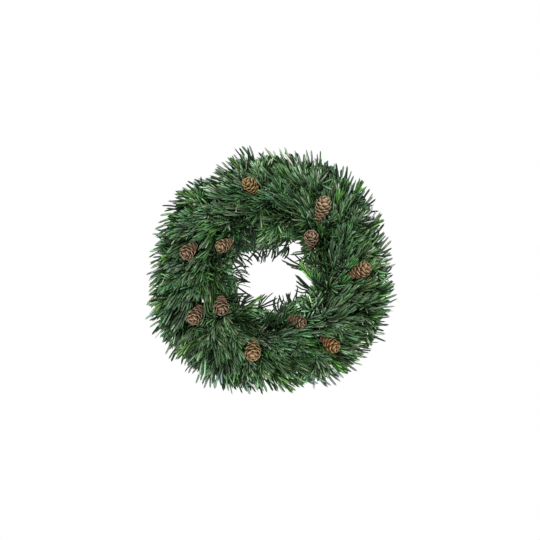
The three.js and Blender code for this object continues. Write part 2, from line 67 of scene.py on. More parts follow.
# Middle line of each sprig's stem, in mm from the middle of the ring, cut end first: the cut end
# lies in the binding and the last points are where the side shoots start.
STEMS = {
    "outer_sprig_01": [(135.6, -7.5, -31.6), (137.3, -7.8, -18.1), (139.8, -6.8, -6.7), (143.3, -4.1, 2.1), (151.2, -1.4, 10.8), (160.7, 0.6, 19.5), (169, 0.6, 29), (176.6, 0.7, 36.4), (183.7, 0.8, 42.3)],
    "outer_sprig_02": [(121, -7.5, 57.6), (114, -7.8, 68.7), (109.6, -6.8, 79.3), (108.5, -4.1, 89.1), (109.5, -1.3, 102.8), (114.7, 0.5, 114.2), (124.1, 0.6, 117.5), (129.3, 0.7, 124), (131.1, 0.8, 132.9)],
    "outer_sprig_03": [(84, -7.5, 104.4), (73, -7.8, 111.4), (64.4, -6.8, 119), (59, -4.1, 127.3), (55.6, -1.4, 139.9), (51.9, 0.6, 153.3), (44.8, 0.6, 164.3), (40.9, 0.7, 173.4), (38.9, 0.8, 181.3)],
    "outer_sprig_04": [(0.7, -7.5, 139.2), (-12.9, -7.8, 137.9), (-24.6, -6.8, 137.8), (-33.9, -4.1, 139.2), (-45.3, -1.3, 144.5), (-53.3, 0.5, 152.6), (-53.7, 0.6, 161), (-57.3, 0.6, 167.3), (-63.6, 0.7, 172)],
    "outer_sprig_05": [(-57.6, -7.5, 121), (-68.7, -7.8, 114), (-79.3, -6.8, 109.6), (-89.1, -4.1, 108.5), (-101.8, -1.4, 111), (-115.9, 0.6, 113.1), (-130.7, 0.6, 109.5), (-141.3, 0.7, 109.2), (-149.6, 0.8, 110.8)],
    "outer_sprig_06": [(-120.5, -7.5, 58.7), (-124.8, -7.8, 46.3), (-130.3, -6.8, 36.3), (-137.3, -4.1, 29.2), (-148.5, -1.3, 22.2), (-161.1, 0.6, 17.7), (-171.4, 0.6, 17.5), (-181, 0.7, 14.9), (-190, 0.8, 10.3)],
    "outer_sprig_07": [(-134, -7.5, 0.6), (-132.6, -7.8, -12.4), (-133.2, -6.8, -23.8), (-136.4, -4.1, -33.2), (-144.2, -1.4, -43.5), (-152.2, 0.6, -55.8), (-155.2, 0.7, -74.2), (-159.8, 0.7, -86.2), (-165.6, 0.8, -94.2)],
    "outer_sprig_08": [(-105.2, -7.5, -83.1), (-95.9, -7.8, -92.3), (-89.2, -6.8, -101.7), (-85.9, -4.1, -111), (-84.7, -1.3, -124.2), (-85.5, 0.5, -137.3), (-87.7, 0.6, -146.4), (-88.5, 0.7, -155), (-88.3, 0.8, -163.4)],
    "outer_sprig_09": [(-68.1, -7.5, -115.4), (-53.5, -7.8, -121.9), (-40.5, -6.8, -129), (-29.7, -4.2, -137), (-23.2, -1.4, -149), (-15.6, 0.6, -161.1), (1, 0.6, -169.6), (9.3, 0.6, -176.9), (13, 0.7, -183.6)],
    "outer_sprig_10": [(29.2, -7.5, -130.8), (41.6, -7.8, -126.5), (52.9, -6.8, -124.5), (62.8, -4.1, -125.6), (74.9, -1.3, -130.3), (87, 0.6, -136.6), (96.9, 0.6, -141.3), (105.7, 0.7, -145.4), (113.9, 0.8, -149.2)],
    "outer_sprig_11": [(104.4, -7.5, -84), (111.4, -7.8, -73), (119, -6.8, -64.4), (127.3, -4.1, -59), (140.2, -1.3, -53.9), (152.7, 0.6, -54), (159.6, 0.6, -63.4), (168.1, 0.7, -66), (177.8, 0.8, -63.7)],
    "shoulder_sprig_01": [(133.9, -7.5, 3.9), (132.4, -7.5, 16.9), (131.6, -7.5, 28), (131.6, -7.7, 36.8), (133.5, -10.6, 45.5), (135.8, -15.5, 54.4), (136.6, -22, 64.8), (138.2, -27.8, 71.9), (140.1, -33.1, 77)],
    "shoulder_sprig_02": [(103.4, -7.5, 100.8), (95.2, -7.4, 108.7), (88.3, -7.5, 113.7), (83, -7.7, 115.9), (77.6, -10.7, 120.5), (71.8, -15.6, 127.1), (63.6, -21.9, 136.9), (59.6, -27.7, 143.8), (57.9, -33, 148.9)],
    "shoulder_sprig_03": [(29, -7.5, 146.4), (14.4, -7.5, 148.7), (2.3, -7.4, 148.3), (-6.9, -7.6, 145.1), (-14.7, -10.8, 143.8), (-23.5, -15.6, 143.9), (-38.4, -21.7, 145.7), (-46.6, -27.3, 148.2), (-50.9, -32.5, 151)],
    "shoulder_sprig_04": [(-86.5, -7.5, 102.3), (-95.8, -7.5, 93), (-104, -7.5, 85.4), (-110.8, -7.7, 80), (-119.4, -10.6, 74.8), (-126.2, -15.5, 74), (-126.9, -22.1, 82.3), (-130.7, -27.9, 84.8), (-136.8, -33.2, 82.8)],
    "shoulder_sprig_05": [(-143.3, -7.5, 18.1), (-144.3, -7.4, 6.7), (-144, -7.5, -1.9), (-142.4, -7.7, -7.3), (-142.3, -10.5, -15.6), (-144.5, -15.6, -21.2), (-150.3, -22.3, -18), (-154.9, -28.3, -19.6), (-158.4, -33.7, -24.9)],
    "shoulder_sprig_06": [(-123.6, -7.5, -64), (-116.5, -7.5, -75.6), (-110.2, -7.5, -85.2), (-104.8, -7.6, -92.1), (-100.7, -10.5, -100.2), (-99.7, -15.5, -106.9), (-104.2, -22.2, -109.8), (-105.9, -28.1, -114.4), (-105.3, -33.4, -120.5)],
    "shoulder_sprig_07": [(-44.1, -7.5, -121), (-34.3, -7.5, -123.4), (-27.1, -7.5, -127), (-23, -7.7, -131.8), (-16.4, -10.4, -138.9), (-11, -15.5, -145.9), (-10.2, -21.9, -150.9), (-7.6, -27.6, -155.3), (-3.7, -32.6, -159.4)],
    "shoulder_sprig_08": [(31, -7.5, -119.7), (42.2, -7.5, -115.2), (52.8, -7.5, -113.4), (62.4, -7.7, -115), (73.1, -10.5, -117.8), (82.7, -15.5, -120.9), (88.8, -22.1, -122.6), (94.6, -28, -123.8), (100.3, -33.2, -124.7)],
    "shoulder_sprig_09": [(98.8, -7.5, -74.2), (104.8, -7.5, -63.7), (112, -7.5, -55.8), (120.5, -7.7, -51), (130.6, -10.5, -46.8), (140.2, -15.5, -42.6), (146.7, -22.1, -37.5), (152.2, -28.1, -33.8), (157.1, -33.4, -30.9)],
    "front_sprig_01": [(122.2, -7.5, -40.6), (124.7, -7.4, -30.8), (127.1, -7.5, -23.4), (129.2, -7.8, -18.8), (131, -11, -12.5), (131.7, -16.3, -4.7), (130.4, -24, 7), (129, -31, 13.3), (127.7, -37.3, 16.7)],
    "front_sprig_02": [(108.1, -7.5, 60), (101.2, -7.5, 69.9), (96.2, -7.5, 79), (93.4, -7.7, 87), (90, -10.8, 94.4), (86.9, -16.3, 99.3), (85.2, -24.2, 99.2), (82.2, -31.2, 100.2), (78.5, -37.4, 102.1)],
    "front_sprig_03": [(51.1, -7.5, 123.9), (38.7, -7.4, 128.2), (28, -7.5, 131), (19.7, -7.7, 132.1), (12.4, -11, 132.2), (4.7, -16.3, 131.6), (-7, -24, 130.3), (-13.4, -31, 129), (-16.7, -37.4, 127.7)],
    "front_sprig_04": [(-64.8, -7.5, 99.6), (-72, -7.5, 93.5), (-78.9, -7.5, 90.6), (-85.5, -7.8, 91.1), (-93.5, -10.7, 89.5), (-99.3, -16.3, 87), (-99.2, -24.2, 85.2), (-100.2, -31.2, 82.2), (-102.1, -37.4, 78.5)],
    "front_sprig_05": [(-114.3, -7.5, 47.1), (-117.7, -7.5, 35.6), (-121.8, -7.5, 26), (-126.2, -7.7, 18.8), (-129.8, -11, 12.2), (-131.9, -16.3, 4.7), (-130.5, -24, -6.9), (-129, -31, -13.3), (-127.7, -37.3, -16.7)],
    "front_sprig_06": [(-99.6, -7.5, -64.8), (-93.5, -7.5, -72), (-90.6, -7.5, -78.9), (-91.1, -7.8, -85.5), (-89.5, -10.7, -93.5), (-87, -16.3, -99.3), (-85.2, -24.2, -99.2), (-82.3, -31.1, -100.1), (-78.5, -37.3, -102)],
    "front_sprig_07": [(-37.5, -7.5, -112.7), (-28.3, -7.5, -114.6), (-21.6, -7.5, -118.2), (-17.9, -7.8, -123.7), (-12.3, -10.9, -128.8), (-4.7, -16.3, -132), (6.9, -24, -130.6), (13.3, -31, -129), (16.6, -37.3, -127.7)],
    "front_sprig_08": [(70.2, -7.5, -108), (78.3, -7.4, -101.8), (84.8, -7.5, -97.5), (89.3, -7.8, -95.2), (95.1, -10.8, -90.9), (99.2, -16.3, -86.8), (99.2, -24.2, -85.1), (100.1, -31.1, -82.3), (102, -37.3, -78.5)],
    "inner_sprig_01": [(117.3, 2.4, 38.8), (113, 2.8, 50.2), (108.3, 1.7, 59.2), (103.5, -1, 65.4), (94.7, -5.5, 68.7), (86.3, -10.2, 66.6), (83.4, -13.6, 56.1), (77.3, -16.6, 51.6), (68.8, -19.4, 51.5)],
    "inner_sprig_02": [(62.7, -7.5, 112.5), (53.7, -7.6, 117.5), (46.2, -7.3, 119.5), (40.7, -6.6, 118.5), (33, -7.6, 113.4), (24, -10.1, 106), (12.4, -13.8, 98.8), (5.3, -17.3, 91.2), (1.1, -20.4, 83.4)],
    "inner_sprig_03": [(-61.5, -2.4, 101.7), (-71, -2.2, 95), (-79, -2.6, 89.2), (-84.9, -3.6, 84.5), (-87.1, -6.5, 76.4), (-84.2, -10.2, 69.2), (-73.1, -13.7, 68.3), (-67.2, -17, 62.9), (-65, -19.9, 54.2)],
    "inner_sprig_04": [(-111.5, -2.4, 41.1), (-114.7, -2.2, 30), (-117.4, -2.6, 20.5), (-119, -3.6, 13.1), (-115.6, -6.6, 6.5), (-109.2, -10.1, -0.1), (-101.5, -13, -9), (-94.6, -15.5, -13.4), (-88.3, -17.9, -15.2)],
    "inner_sprig_05": [(-105.3, -2.4, -74.2), (-99.3, -2.2, -82.5), (-93.5, -2.7, -87.6), (-88, -3.7, -89.1), (-78.8, -6.6, -87.7), (-67.9, -10.1, -85.3), (-56.5, -12.8, -85.1), (-49, -15.3, -82.7), (-43.9, -17.6, -79)],
    "inner_sprig_06": [(-7.9, -7.5, -133.8), (2.8, -7.6, -134.5), (10.6, -7.3, -132.4), (15.1, -6.6, -127.3), (19.5, -7.6, -117.5), (24.3, -9.9, -106.2), (31.3, -12.8, -97), (34.1, -15.4, -89.6), (34.4, -17.8, -83.1)],
    "inner_sprig_07": [(85.9, 2.4, -88.9), (94.2, 2.8, -80), (100.4, 1.7, -71.9), (103.8, -1, -64.9), (102.2, -5.5, -56.6), (98.4, -10.2, -47.3), (95.7, -12.9, -36.2), (91.7, -15.2, -29.5), (87, -17.5, -25.4)],
}
# The bent wire of the hanging loop.
LOOP = [
    (-6.4, 8.51, 153.91), (-6.12, 10.22, 152.69), (-5.83, 10.89, 151.05), (-5.55, 10.23, 149.07), (-5.26, 8.45, 148.17),
    (-4.98, 6.58, 148.47), (-4.69, 5.21, 150.08), (-4.38, 5.29, 151.86), (-4.11, 7.17, 154.24), (-4.21, 13.38, 158.02),
    (-6.11, 15.64, 160.68), (-8.21, 16.22, 163.17), (-9.27, 16.18, 166.26), (-9.22, 16.15, 169.45), (-8.1, 16.15, 172.47),
    (-5.97, 16.15, 174.95), (-3.19, 16.15, 176.52), (0, 16.15, 177.1), (3.19, 16.15, 176.52), (5.97, 16.15, 174.95),
    (8.1, 16.15, 172.47), (9.22, 16.15, 169.45), (9.27, 16.18, 166.26), (8.21, 16.22, 163.17), (6.11, 15.64, 160.68),
    (4.21, 13.38, 158.02), (4.11, 7.17, 154.24), (4.38, 5.29, 151.86), (4.69, 5.21, 150.08), (4.98, 6.58, 148.47),
    (5.26, 8.45, 148.17), (5.55, 10.23, 149.07), (5.83, 10.89, 151.05), (6.12, 10.22, 152.69), (6.4, 8.51, 153.91),
]
# Pinecones: middle of the base, axis from base to tip, length, width.
CONES = [
    ((-20.9, -42.7, 133), (-0.5044, -0.6859, 0.5245), 42, 25),
    ((83.9, -40.9, 83.3), (0.2205, -0.6215, 0.7518), 55, 28),
    ((71.5, -27, 41.7), (0, -0.8645, 0.5026), 44, 26),
    ((137.5, -43.1, -10.7), (0.7379, -0.5584, 0.3789), 46, 28),
    ((-67.9, -31.1, 50.8), (-0.5316, -0.7769, -0.3373), 40, 24.5),
    ((-130.2, -41.9, 44.5), (-0.4419, -0.7433, -0.5022), 42, 27),
    ((-121.2, -41.6, -64.1), (-0.3231, -0.727, -0.6058), 42, 27),
    ((-85.1, -38.2, -48.3), (0.03, -0.7596, -0.6497), 39, 28),
    ((-28.6, -40.1, -120.3), (-0.03, -0.741, -0.6709), 48, 29),
    ((34.7, -39.2, -82), (0.6799, -0.6599, -0.3199), 37, 22.5),
    ((89.8, -41, -116.9), (0.64, -0.6, -0.48), 42, 25.5),
]

# Spots seen from the front, x and z, where a tuft of needles opens like a star.
STARS = [
    (-52, 123), (63, 86), (67, -68), (13, -134), (47, -134), (118, -97), (130, 59),
    (-92, -78), (-105, -109), (-136, -31), (-20, 96), (20, 128), (-150, 72), (104, -30),
    (-60, -118), (150, 95), (-108, 96), (168, -62), (-182, -20), (88, 150),
]
# Spots with young, brighter shoots.
YOUNG = [
    (-7, -139), (60, -124), (58, -153), (100, -105), (-89, 72), (-109, 61), (-180, 20),
    (89, 65), (157, 146), (192, 89), (61, -1), (-26, -54), (183, -78), (-60, 186),
    (20, 170), (-150, 130), (-190, -60), (-150, -140), (-60, -190), (30, -200),
    (120, -170), (160, 40), (-40, 110), (118, 120), (-120, -30),
]


# How far the needle tips reach from the middle of the ring, every 15 degrees from +X over the top.
TIP_EDGE = [226, 219, 226, 231, 232, 221, 221, 225, 206, 222, 222, 220, 216, 240, 241, 241, 238, 233, 217, 228, 236, 242, 237, 237]
# The opening, every 15 degrees from +X about its own middle: where the needle tips and the dense greenery end.
HOLE_AT = (-2.7, -13.3)
HOLE_TIPS = [45, 44, 44, 42, 34, 30, 28, 28, 30, 35, 39, 36, 32, 34, 40, 32, 24, 22, 22, 24, 26, 36, 44, 46]
HOLE_GREEN = [67, 64, 69, 80, 73, 56, 50, 50, 53, 58, 68, 65, 54, 55, 63, 66, 54, 53, 53, 54, 53, 57, 64, 71]
DENSE_BACK = 20.0
# How the needles lie, in degrees from outward towards the direction of laying: by the place between the
# opening (0) and the outline (1), and what the outer half adds every 30 degrees round the ring, from 15 on.
LIE_AT = [0.0, 0.08, 0.14, 0.2, 0.3, 0.5, 0.75, 0.9, 1.0]
LIE = [168, 160, 128, 88, 70, 58, 38, 28, 25]
LIE_MORE = [-5, -4, 11, -1, -3, 12, -3, -23, 9, 4, -10, 8]
# How the long needles in the opening lean from straight inward, every 30 degrees from +X.
LEAN_IN = [8, -12, -45, -4, 14, 2, 12, 10, 12, 16, 8, 4]
# Painted light and shade across the ring: how light the needles are painted between the opening and the outline,
# lightest near the opening and at the ends on the outside, shaded between.
PAINTED_LIGHT_AT = [0.0, 0.1, 0.17, 0.24, 0.31, 0.42, 0.66, 0.74, 0.83, 0.9, 1.0]
PAINTED_LIGHT = [0.8, 1.1, 1.65, 1.3, 0.62, 0.43, 0.42, 0.48, 1.42, 1.0, 0.68]


# ---------------------------------------------------------------- the ring's own coordinates
def unit(a):
    return a / np.maximum(np.linalg.norm(a, axis=-1, keepdims=True), 1e-9)


def ring_point(theta, u, v):
    theta, u, v = np.broadcast_arrays(theta, u, v)
    return np.stack([(RING_R + u) * np.cos(theta), -v, (RING_R + u) * np.sin(theta)], -1).astype(float)


def section_point(theta, rho, phi):
    u = rho * np.cos(phi)
    v = rho * np.sin(phi)
    return ring_point(theta, u, np.where(v < 0, v * BACK_FLAT, v))


def outer_edge(theta):
    n = len(OUTER_EDGE)
    t = np.mod(theta / (2 * np.pi) * n, n)
    i = np.floor(t).astype(int) % n
    f = (1 - np.cos((t - np.floor(t)) * np.pi)) / 2
    e = np.array(OUTER_EDGE, float)
    return e[i] * (1 - f) + e[(i + 1) % n] * f


def tip_edge(theta):
    n = len(TIP_EDGE)
    t = np.mod(theta / (2 * np.pi) * n, n)
    i = np.floor(t).astype(int) % n
    f = t - np.floor(t)
    e = np.array(TIP_EDGE, float)
    return e[i] * (1 - f) + e[(i + 1) % n] * f


def hole_edge(theta, hole=HOLE):
    hx, hz, a, b = hole
    c, s = np.cos(theta), np.sin(theta)
    qa = c * c / a**2 + s * s / b**2
    qb = c * hx / a**2 + s * hz / b**2
    qc = hx**2 / a**2 + hz**2 / b**2 - 1
    return (qb + np.sqrt(qb * qb - qa * qc)) / qa


def reach(theta, phi):
    c, s = np.cos(phi), np.sin(phi)
    across = np.where(c >= 0, outer_edge(theta) - RING_R, RING_R - hole_edge(theta))
    return 1 / np.hypot(c / across, s / np.where(s >= 0, FRONT_REACH, 60.0))


def opening(radii):
    """The opening's outline as a table of angle and distance from the middle of the ring."""
    a = np.arange(720) / 720 * 2 * np.pi
    k = np.append(radii, radii[0])
    r = np.interp(a, np.arange(len(k)) / len(radii) * 2 * np.pi, k)
    x, z = HOLE_AT[0] + r * np.cos(a), HOLE_AT[1] + r * np.sin(a)
    th = np.mod(np.arctan2(z, x), 2 * np.pi)
    order = np.argsort(th)
    return th[order], np.hypot(x, z)[order]


OPEN_TIPS = opening(HOLE_TIPS)
OPEN_GREEN = opening(HOLE_GREEN)


def tip_hole(theta, dense=False):
    th, r = OPEN_GREEN if dense else OPEN_TIPS
    return np.interp(np.mod(theta, 2 * np.pi), th, r, period=2 * np.pi)


def tip_reach(theta, phi, dense=False):
    c, s = np.cos(phi), np.sin(phi)
    outer = tip_edge(theta) - (DENSE_BACK if dense else 0.0)
    across = np.where(c >= 0, outer - RING_R, RING_R - tip_hole(theta, dense))
    return 1 / np.hypot(c / across, s / np.where(s >= 0, FRONT_REACH, 60.0))


def place_across(theta, r):
    """0 at the needle tips in the opening, 1 at those of the outline."""
    inner = tip_hole(theta)
    return np.clip((r - inner) / (tip_edge(theta) - inner), 0, 1)


def lie(p, inward=False):
    """The way the tips lie, which turns from inward at the opening to outward at the outline."""
    theta, rho, phi = to_section(p)
    out = np.stack([np.cos(theta), np.zeros_like(theta), np.sin(theta)], -1)
    turn = np.stack([-np.sin(theta), np.zeros_like(theta), np.cos(theta)], -1)
    if inward:
        a = 180.0 - np.interp(np.mod(np.degrees(theta), 360.0), np.arange(13) * 30.0, LEAN_IN + LEAN_IN[:1])
    else:
        g = place_across(theta, np.hypot(p[..., 0], p[..., 2]))
        more = np.interp(np.mod(np.degrees(theta) - 15.0, 360.0), np.arange(13) * 30.0, LIE_MORE + LIE_MORE[:1])
        a = np.interp(g, LIE_AT, LIE) + more * np.interp(g, [0.3, 0.7], [0, 1])
    a = np.radians(a)[..., None]
    return unit(out * np.cos(a) + turn * np.sin(a) + np.array([0.0, -1.0, 0.0]) * 0.34 * np.sin(phi)[..., None])


def binding_rho(phi):
    return 1 / np.cbrt(np.abs(np.cos(phi) / BIND_A) ** 3 + np.abs(np.sin(phi) / BIND_B) ** 3)


def to_section(p):
    """Angle round the ring, distance and direction in the section."""
    r = np.hypot(p[..., 0], p[..., 2])
    theta = np.arctan2(p[..., 2], p[..., 0])
    u, v = r - RING_R, -p[..., 1]
    v = np.where(v < 0, v / BACK_FLAT, v)
    return theta, np.hypot(u, v), np.arctan2(v, u)


def cell(row, theta0, s, a, b):
    """A point of a sprig's own space: s from the binding to the tips, a sideways, b across the row."""
    phi0 = math.radians(row["phi"])
    base = float(binding_rho(phi0)) + 3.2
    half_theta = math.pi / row["count"]
    half_phi = math.radians(row["half"])
    phi = phi0 + half_phi * b
    rho = base + s * (reach(theta0, phi) - base)
    r = np.maximum(70.0, RING_R + rho * math.cos(phi0))
    theta = theta0 + half_theta * a + row["sweep"] * (rho - base) / r
    return section_point(theta, rho, phi)


def way_turn(p):
    """The direction of laying, round the ring."""
    theta = np.arctan2(p[..., 2], p[..., 0])
    return np.stack([-np.sin(theta), np.zeros_like(theta), np.cos(theta)], -1)


def shoot_end(row, theta0, gap, a, b, dense=False):
    """Where a shoot ends, some mm inside the outline, so that its needles reach it."""
    phi0 = math.radians(row["phi"])
    base = float(binding_rho(phi0)) + 3.2
    phi = phi0 + math.radians(row["half"]) * b
    theta = theta0 + math.pi / row["count"] * a
    for _ in range(3):
        rho = max(float(tip_reach(np.array(theta), np.array(phi), dense)) - gap, base + 5.0)
        r = max(70.0, RING_R + rho * math.cos(phi0))
        theta = theta0 + math.pi / row["count"] * a + row["sweep"] * (rho - base) / r
    return section_point(np.array([theta]), rho, phi)[0]


# ---------------------------------------------------------------- meshes
def to_linear(rgb):
    c = np.asarray(rgb, float) / 255.0
    return np.where(c <= 0.04045, c / 12.92, ((c + 0.055) / 1.055) ** 2.4)


class Mesh:
    """Collects closed shells as quads and triangles, with a tint, a position along and across, and a material."""

    def __init__(self):
        self.co, self.loops, self.sizes, self.mats, self.tint, self.along, self.across, self.smooth = [], [], [], [], [], [], [], []
        self.n = 0

    def add(self, co, faces, mat, tint, along, across, smooth):
        """co (n, 3); faces a list of index arrays (m, 3) or (m, 4)."""
        co = np.asarray(co, float)
        for f in faces:
            f = np.asarray(f, int)
            self.loops.append((f + self.n).ravel())
            self.sizes.append(np.full(len(f), f.shape[1]))
            self.mats.append(np.full(len(f), mat))
            self.smooth.append(np.full(len(f), smooth))
        self.co.append(co)
        n = len(co)
        self.tint.append(np.broadcast_to(np.asarray(tint, float), (n, 3)))
        self.along.append(np.broadcast_to(np.asarray(along, float), (n,)))
        self.across.append(np.broadcast_to(np.asarray(across, float), (n,)))
        self.n += n

    def build(self, name, materials, slot, replaced):
        co = (np.concatenate(self.co) - HANG) / 1000.0
        loops = np.concatenate(self.loops)
        sizes = np.concatenate(self.sizes)
        starts = np.concatenate([[0], np.cumsum(sizes)[:-1]])
        me = bpy.data.meshes.new(name)
        me.vertices.add(len(co))
        me.vertices.foreach_set("co", co.astype(np.float32).ravel())
        me.loops.add(len(loops))
        me.loops.foreach_set("vertex_index", loops.astype(np.int32))
        me.polygons.add(len(sizes))
        me.polygons.foreach_set("loop_start", starts.astype(np.int32))
        me.polygons.foreach_set("material_index", np.concatenate(self.mats).astype(np.int32))
        me.polygons.foreach_set("use_smooth", np.concatenate(self.smooth).astype(bool))
        for m in materials:
            me.materials.append(m)
        tint = me.attributes.new("tint", "FLOAT_COLOR", "POINT")
        rgba = np.concatenate([np.concatenate(self.tint), np.ones((len(co), 1))], 1)
        tint.data.foreach_set("color", rgba.astype(np.float32).ravel())
        for key, values in (("along", self.along), ("across", self.across)):
            at = me.attributes.new(key, "FLOAT", "POINT")
            at.data.foreach_set("value", np.concatenate(values).astype(np.float32))
        me.update(calc_edges=True)
        me.validate()
        ob = bpy.data.objects.new(name, me)
        bpy.context.scene.collection.objects.link(ob)
        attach(ob, "root")
        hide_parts(*replaced)
        return ob


def frames_along(p):
    """Tangents and two steady cross directions along a line of points."""
    t = unit(np.gradient(p, axis=0))
    n = np.zeros_like(t)
    start = np.array([0.0, 0.0, 1.0]) if abs(t[0][2]) < 0.9 else np.array([1.0, 0.0, 0.0])
    n[0] = unit(np.cross(t[0], start))
    for i in range(1, len(p)):
        m = n[i - 1] - t[i] * (n[i - 1] @ t[i])
        n[i] = unit(m)
    return t, n, np.cross(t, n)


def tube(mesh, p, radius, sides, mat, tint, rng=None, rough=0.0, caps=True, closed=False, squash=None):
    """A round shell along a line; radius may change along it, and rough makes its skin uneven."""
    p = np.asarray(p, float)
    k = len(p)
    radius = np.broadcast_to(np.asarray(radius, float), (k,))
    t, n, b = frames_along(p)
    if closed:
        t = unit(np.roll(p, -1, 0) - np.roll(p, 1, 0))
        b = np.broadcast_to(np.array([0.0, 1.0, 0.0]), p.shape)
        n = unit(np.cross(b, t))
        b = np.cross(t, n)
    a = np.arange(sides) / sides * 2 * np.pi
    r = radius[:, None] * np.ones(sides)
    if rough and rng is not None:
        r = r * (1 + rough * rng.normal(size=r.shape).clip(-2, 2))
    co = p[:, None] + r[..., None] * (np.cos(a)[None, :, None] * n[:, None] + np.sin(a)[None, :, None] * b[:, None])
    i = np.arange(k if closed else k - 1)[:, None] * sides
    i2 = ((np.arange(k) + 1) % k)[:, None] * sides if closed else i + sides
    j = np.arange(sides)[None]
    j2 = (j + 1) % sides
    quads = np.stack([i + j, i + j2, i2 + j2, i2 + j], -1).reshape(-1, 4)
    faces = [quads]
    co = co.reshape(-1, 3)
    along = np.repeat(np.linspace(0, 1, k), sides)
    if caps and not closed:
        ends = np.stack([p[0] - t[0] * radius[0] * 0.12, p[-1] + t[-1] * radius[-1] * 0.6])
        m = len(co)
        co = np.concatenate([co, ends])
        along = np.concatenate([along, [0, 1]])
        js = np.arange(sides)
        faces.append(np.stack([np.full(sides, m), (js + 1) % sides, js], -1))
        last = (k - 1) * sides
        faces.append(np.stack([np.full(sides, m + 1), last + js, last + (js + 1) % sides], -1))
    mesh.add(co, faces, mat, tint, along, 0.0, True)


def smooth_line(points, n):
    """n points on a smooth curve through the given ones."""
    p = np.asarray(points, float)
    d = np.concatenate([[0], np.cumsum(np.sqrt(np.linalg.norm(np.diff(p, axis=0), axis=1)))])
    q = np.concatenate([[2 * p[0] - p[1]], p, [2 * p[-1] - p[-2]]])
    k = np.concatenate([[2 * d[0] - d[1]], d, [2 * d[-1] - d[-2]]])
    out = []
    for x in np.linspace(0, d[-1], n):
        i = min(max(int(np.searchsorted(d, x, side="right")) - 1, 0), len(p) - 2)
        p0, p1, p2, p3 = q[i : i + 4]
        t0, t1, t2, t3 = k[i : i + 4]
        a1 = (t1 - x) / (t1 - t0) * p0 + (x - t0) / (t1 - t0) * p1
        a2 = (t2 - x) / (t2 - t1) * p1 + (x - t1) / (t2 - t1) * p2
        a3 = (t3 - x) / (t3 - t2) * p2 + (x - t2) / (t3 - t2) * p3
        b1 = (t2 - x) / (t2 - t0) * a1 + (x - t0) / (t2 - t0) * a2
        b2 = (t3 - x) / (t3 - t1) * a2 + (x - t1) / (t3 - t1) * a3
        out.append((t2 - x) / (t2 - t1) * b1 + (x - t1) / (t2 - t1) * b2)
    return np.array(out)


# ---------------------------------------------------------------- needles
SHORT_BLADE = (np.array([0.0, 0.3, 0.8]), np.array([0.46, 1.0, 0.86]))
LONG_BLADE = (np.array([0.0, 0.2, 0.55, 0.88]), np.array([0.5, 0.94, 1.0, 0.84]))


def needles(mesh, base, d1, d2, flat, length, width, thick, tint, shape=SHORT_BLADE):
    """Flat, keeled, pointed blades: base points, directions at base and tip, and the way the flat side faces."""
    station, widths = shape
    n = len(base)
    c0 = base
    c1 = base + d1 * (length * 0.5)[:, None]
    c2 = c1 + d2 * (length * 0.5)[:, None]
    t = np.concatenate([station, [1.0]])
    line = (
        c0[:, None] * ((1 - t) ** 2)[None, :, None]
        + c1[:, None] * (2 * t * (1 - t))[None, :, None]
        + c2[:, None] * (t**2)[None, :, None]
    )
    tan = unit(d1[:, None] * (1 - t)[None, :, None] + d2[:, None] * t[None, :, None])
    side = unit(np.cross(tan, flat[:, None]))
    face = np.cross(side, tan)
    w = (width[:, None] * widths[None])[..., None] / 2
    h = (thick[:, None] * widths[None])[..., None]
    k = len(station)
    a = line[:, :k] + side[:, :k] * w
    b = line[:, :k] + face[:, :k] * h * 0.62
    c = line[:, :k] - side[:, :k] * w
    d = line[:, :k] - face[:, :k] * h * 0.38
    ring = np.stack([a, b, c, d], 2)  # n, k, 4, 3
    co = np.concatenate([ring.reshape(n, k * 4, 3), line[:, k:]], 1)  # n, 4k+1, 3
    per = 4 * k + 1
    quads = []
    for i in range(k - 1):
        for j in range(4):
            quads.append((i * 4 + j, (i + 1) * 4 + j, (i + 1) * 4 + (j + 1) % 4, i * 4 + (j + 1) % 4))
    quads.append((0, 1, 2, 3))
    tris = [((k - 1) * 4 + j, 4 * k, (k - 1) * 4 + (j + 1) % 4) for j in range(4)]
    off = (np.arange(n) * per)[:, None, None]
    q = (np.array(quads)[None] + off).reshape(-1, 4)
    f = (np.array(tris)[None] + off).reshape(-1, 3)
    along = np.concatenate([np.repeat(station, 4), [1.0]])
    across = np.concatenate([np.tile([1.0, 0.0, -1.0, 0.0], k), [0.0]])
    mesh.add(
        co.reshape(-1, 3),
        [q, f],
        0,
        np.repeat(tint, per, 0),
        np.tile(along, n),
        np.tile(across, n),
        True,
    )


def settle(p):
    """Keeps the greenery in front of the wall."""
    y = p[..., 1]
    low = y > 8.0
    out = p.copy()
    out[..., 1] = np.where(low, 8.0 + 7.5 * np.tanh((y - 8.0) / 9.0), y)
    return out


cone_base = np.array([c[0] for c in CONES], float)
cone_axis = unit(np.array([c[1] for c in CONES], float))
cone_len = np.array([c[2] for c in CONES], float)
cone_wid = np.array([c[3] for c in CONES], float)
cone_mid = cone_base + cone_axis * (cone_len / 2)[:, None]


def cone_profile(t):
    return np.interp(t, [0, 0.12, 0.3, 0.5, 0.68, 0.82, 0.92, 0.97, 1], [0.42, 0.52, 0.72, 0.91, 1, 0.94, 0.72, 0.5, 0.3])


def in_cones(p, grow):
    """Which points (..., 3) lie in a pinecone grown by some mm."""
    hit = np.zeros(p.shape[:-1], bool)
    for i in range(len(CONES)):
        q = p - cone_base[i]
        z = q @ cone_axis[i]
        r = np.linalg.norm(q - z[..., None] * cone_axis[i], axis=-1)
        t = np.clip(z / cone_len[i], 0, 1)
        room = cone_wid[i] / 2 * np.maximum(cone_profile(t), 0.5) + grow
        hit |= (z > -1.0) & (z < cone_len[i] + grow) & (r < room)
    return hit


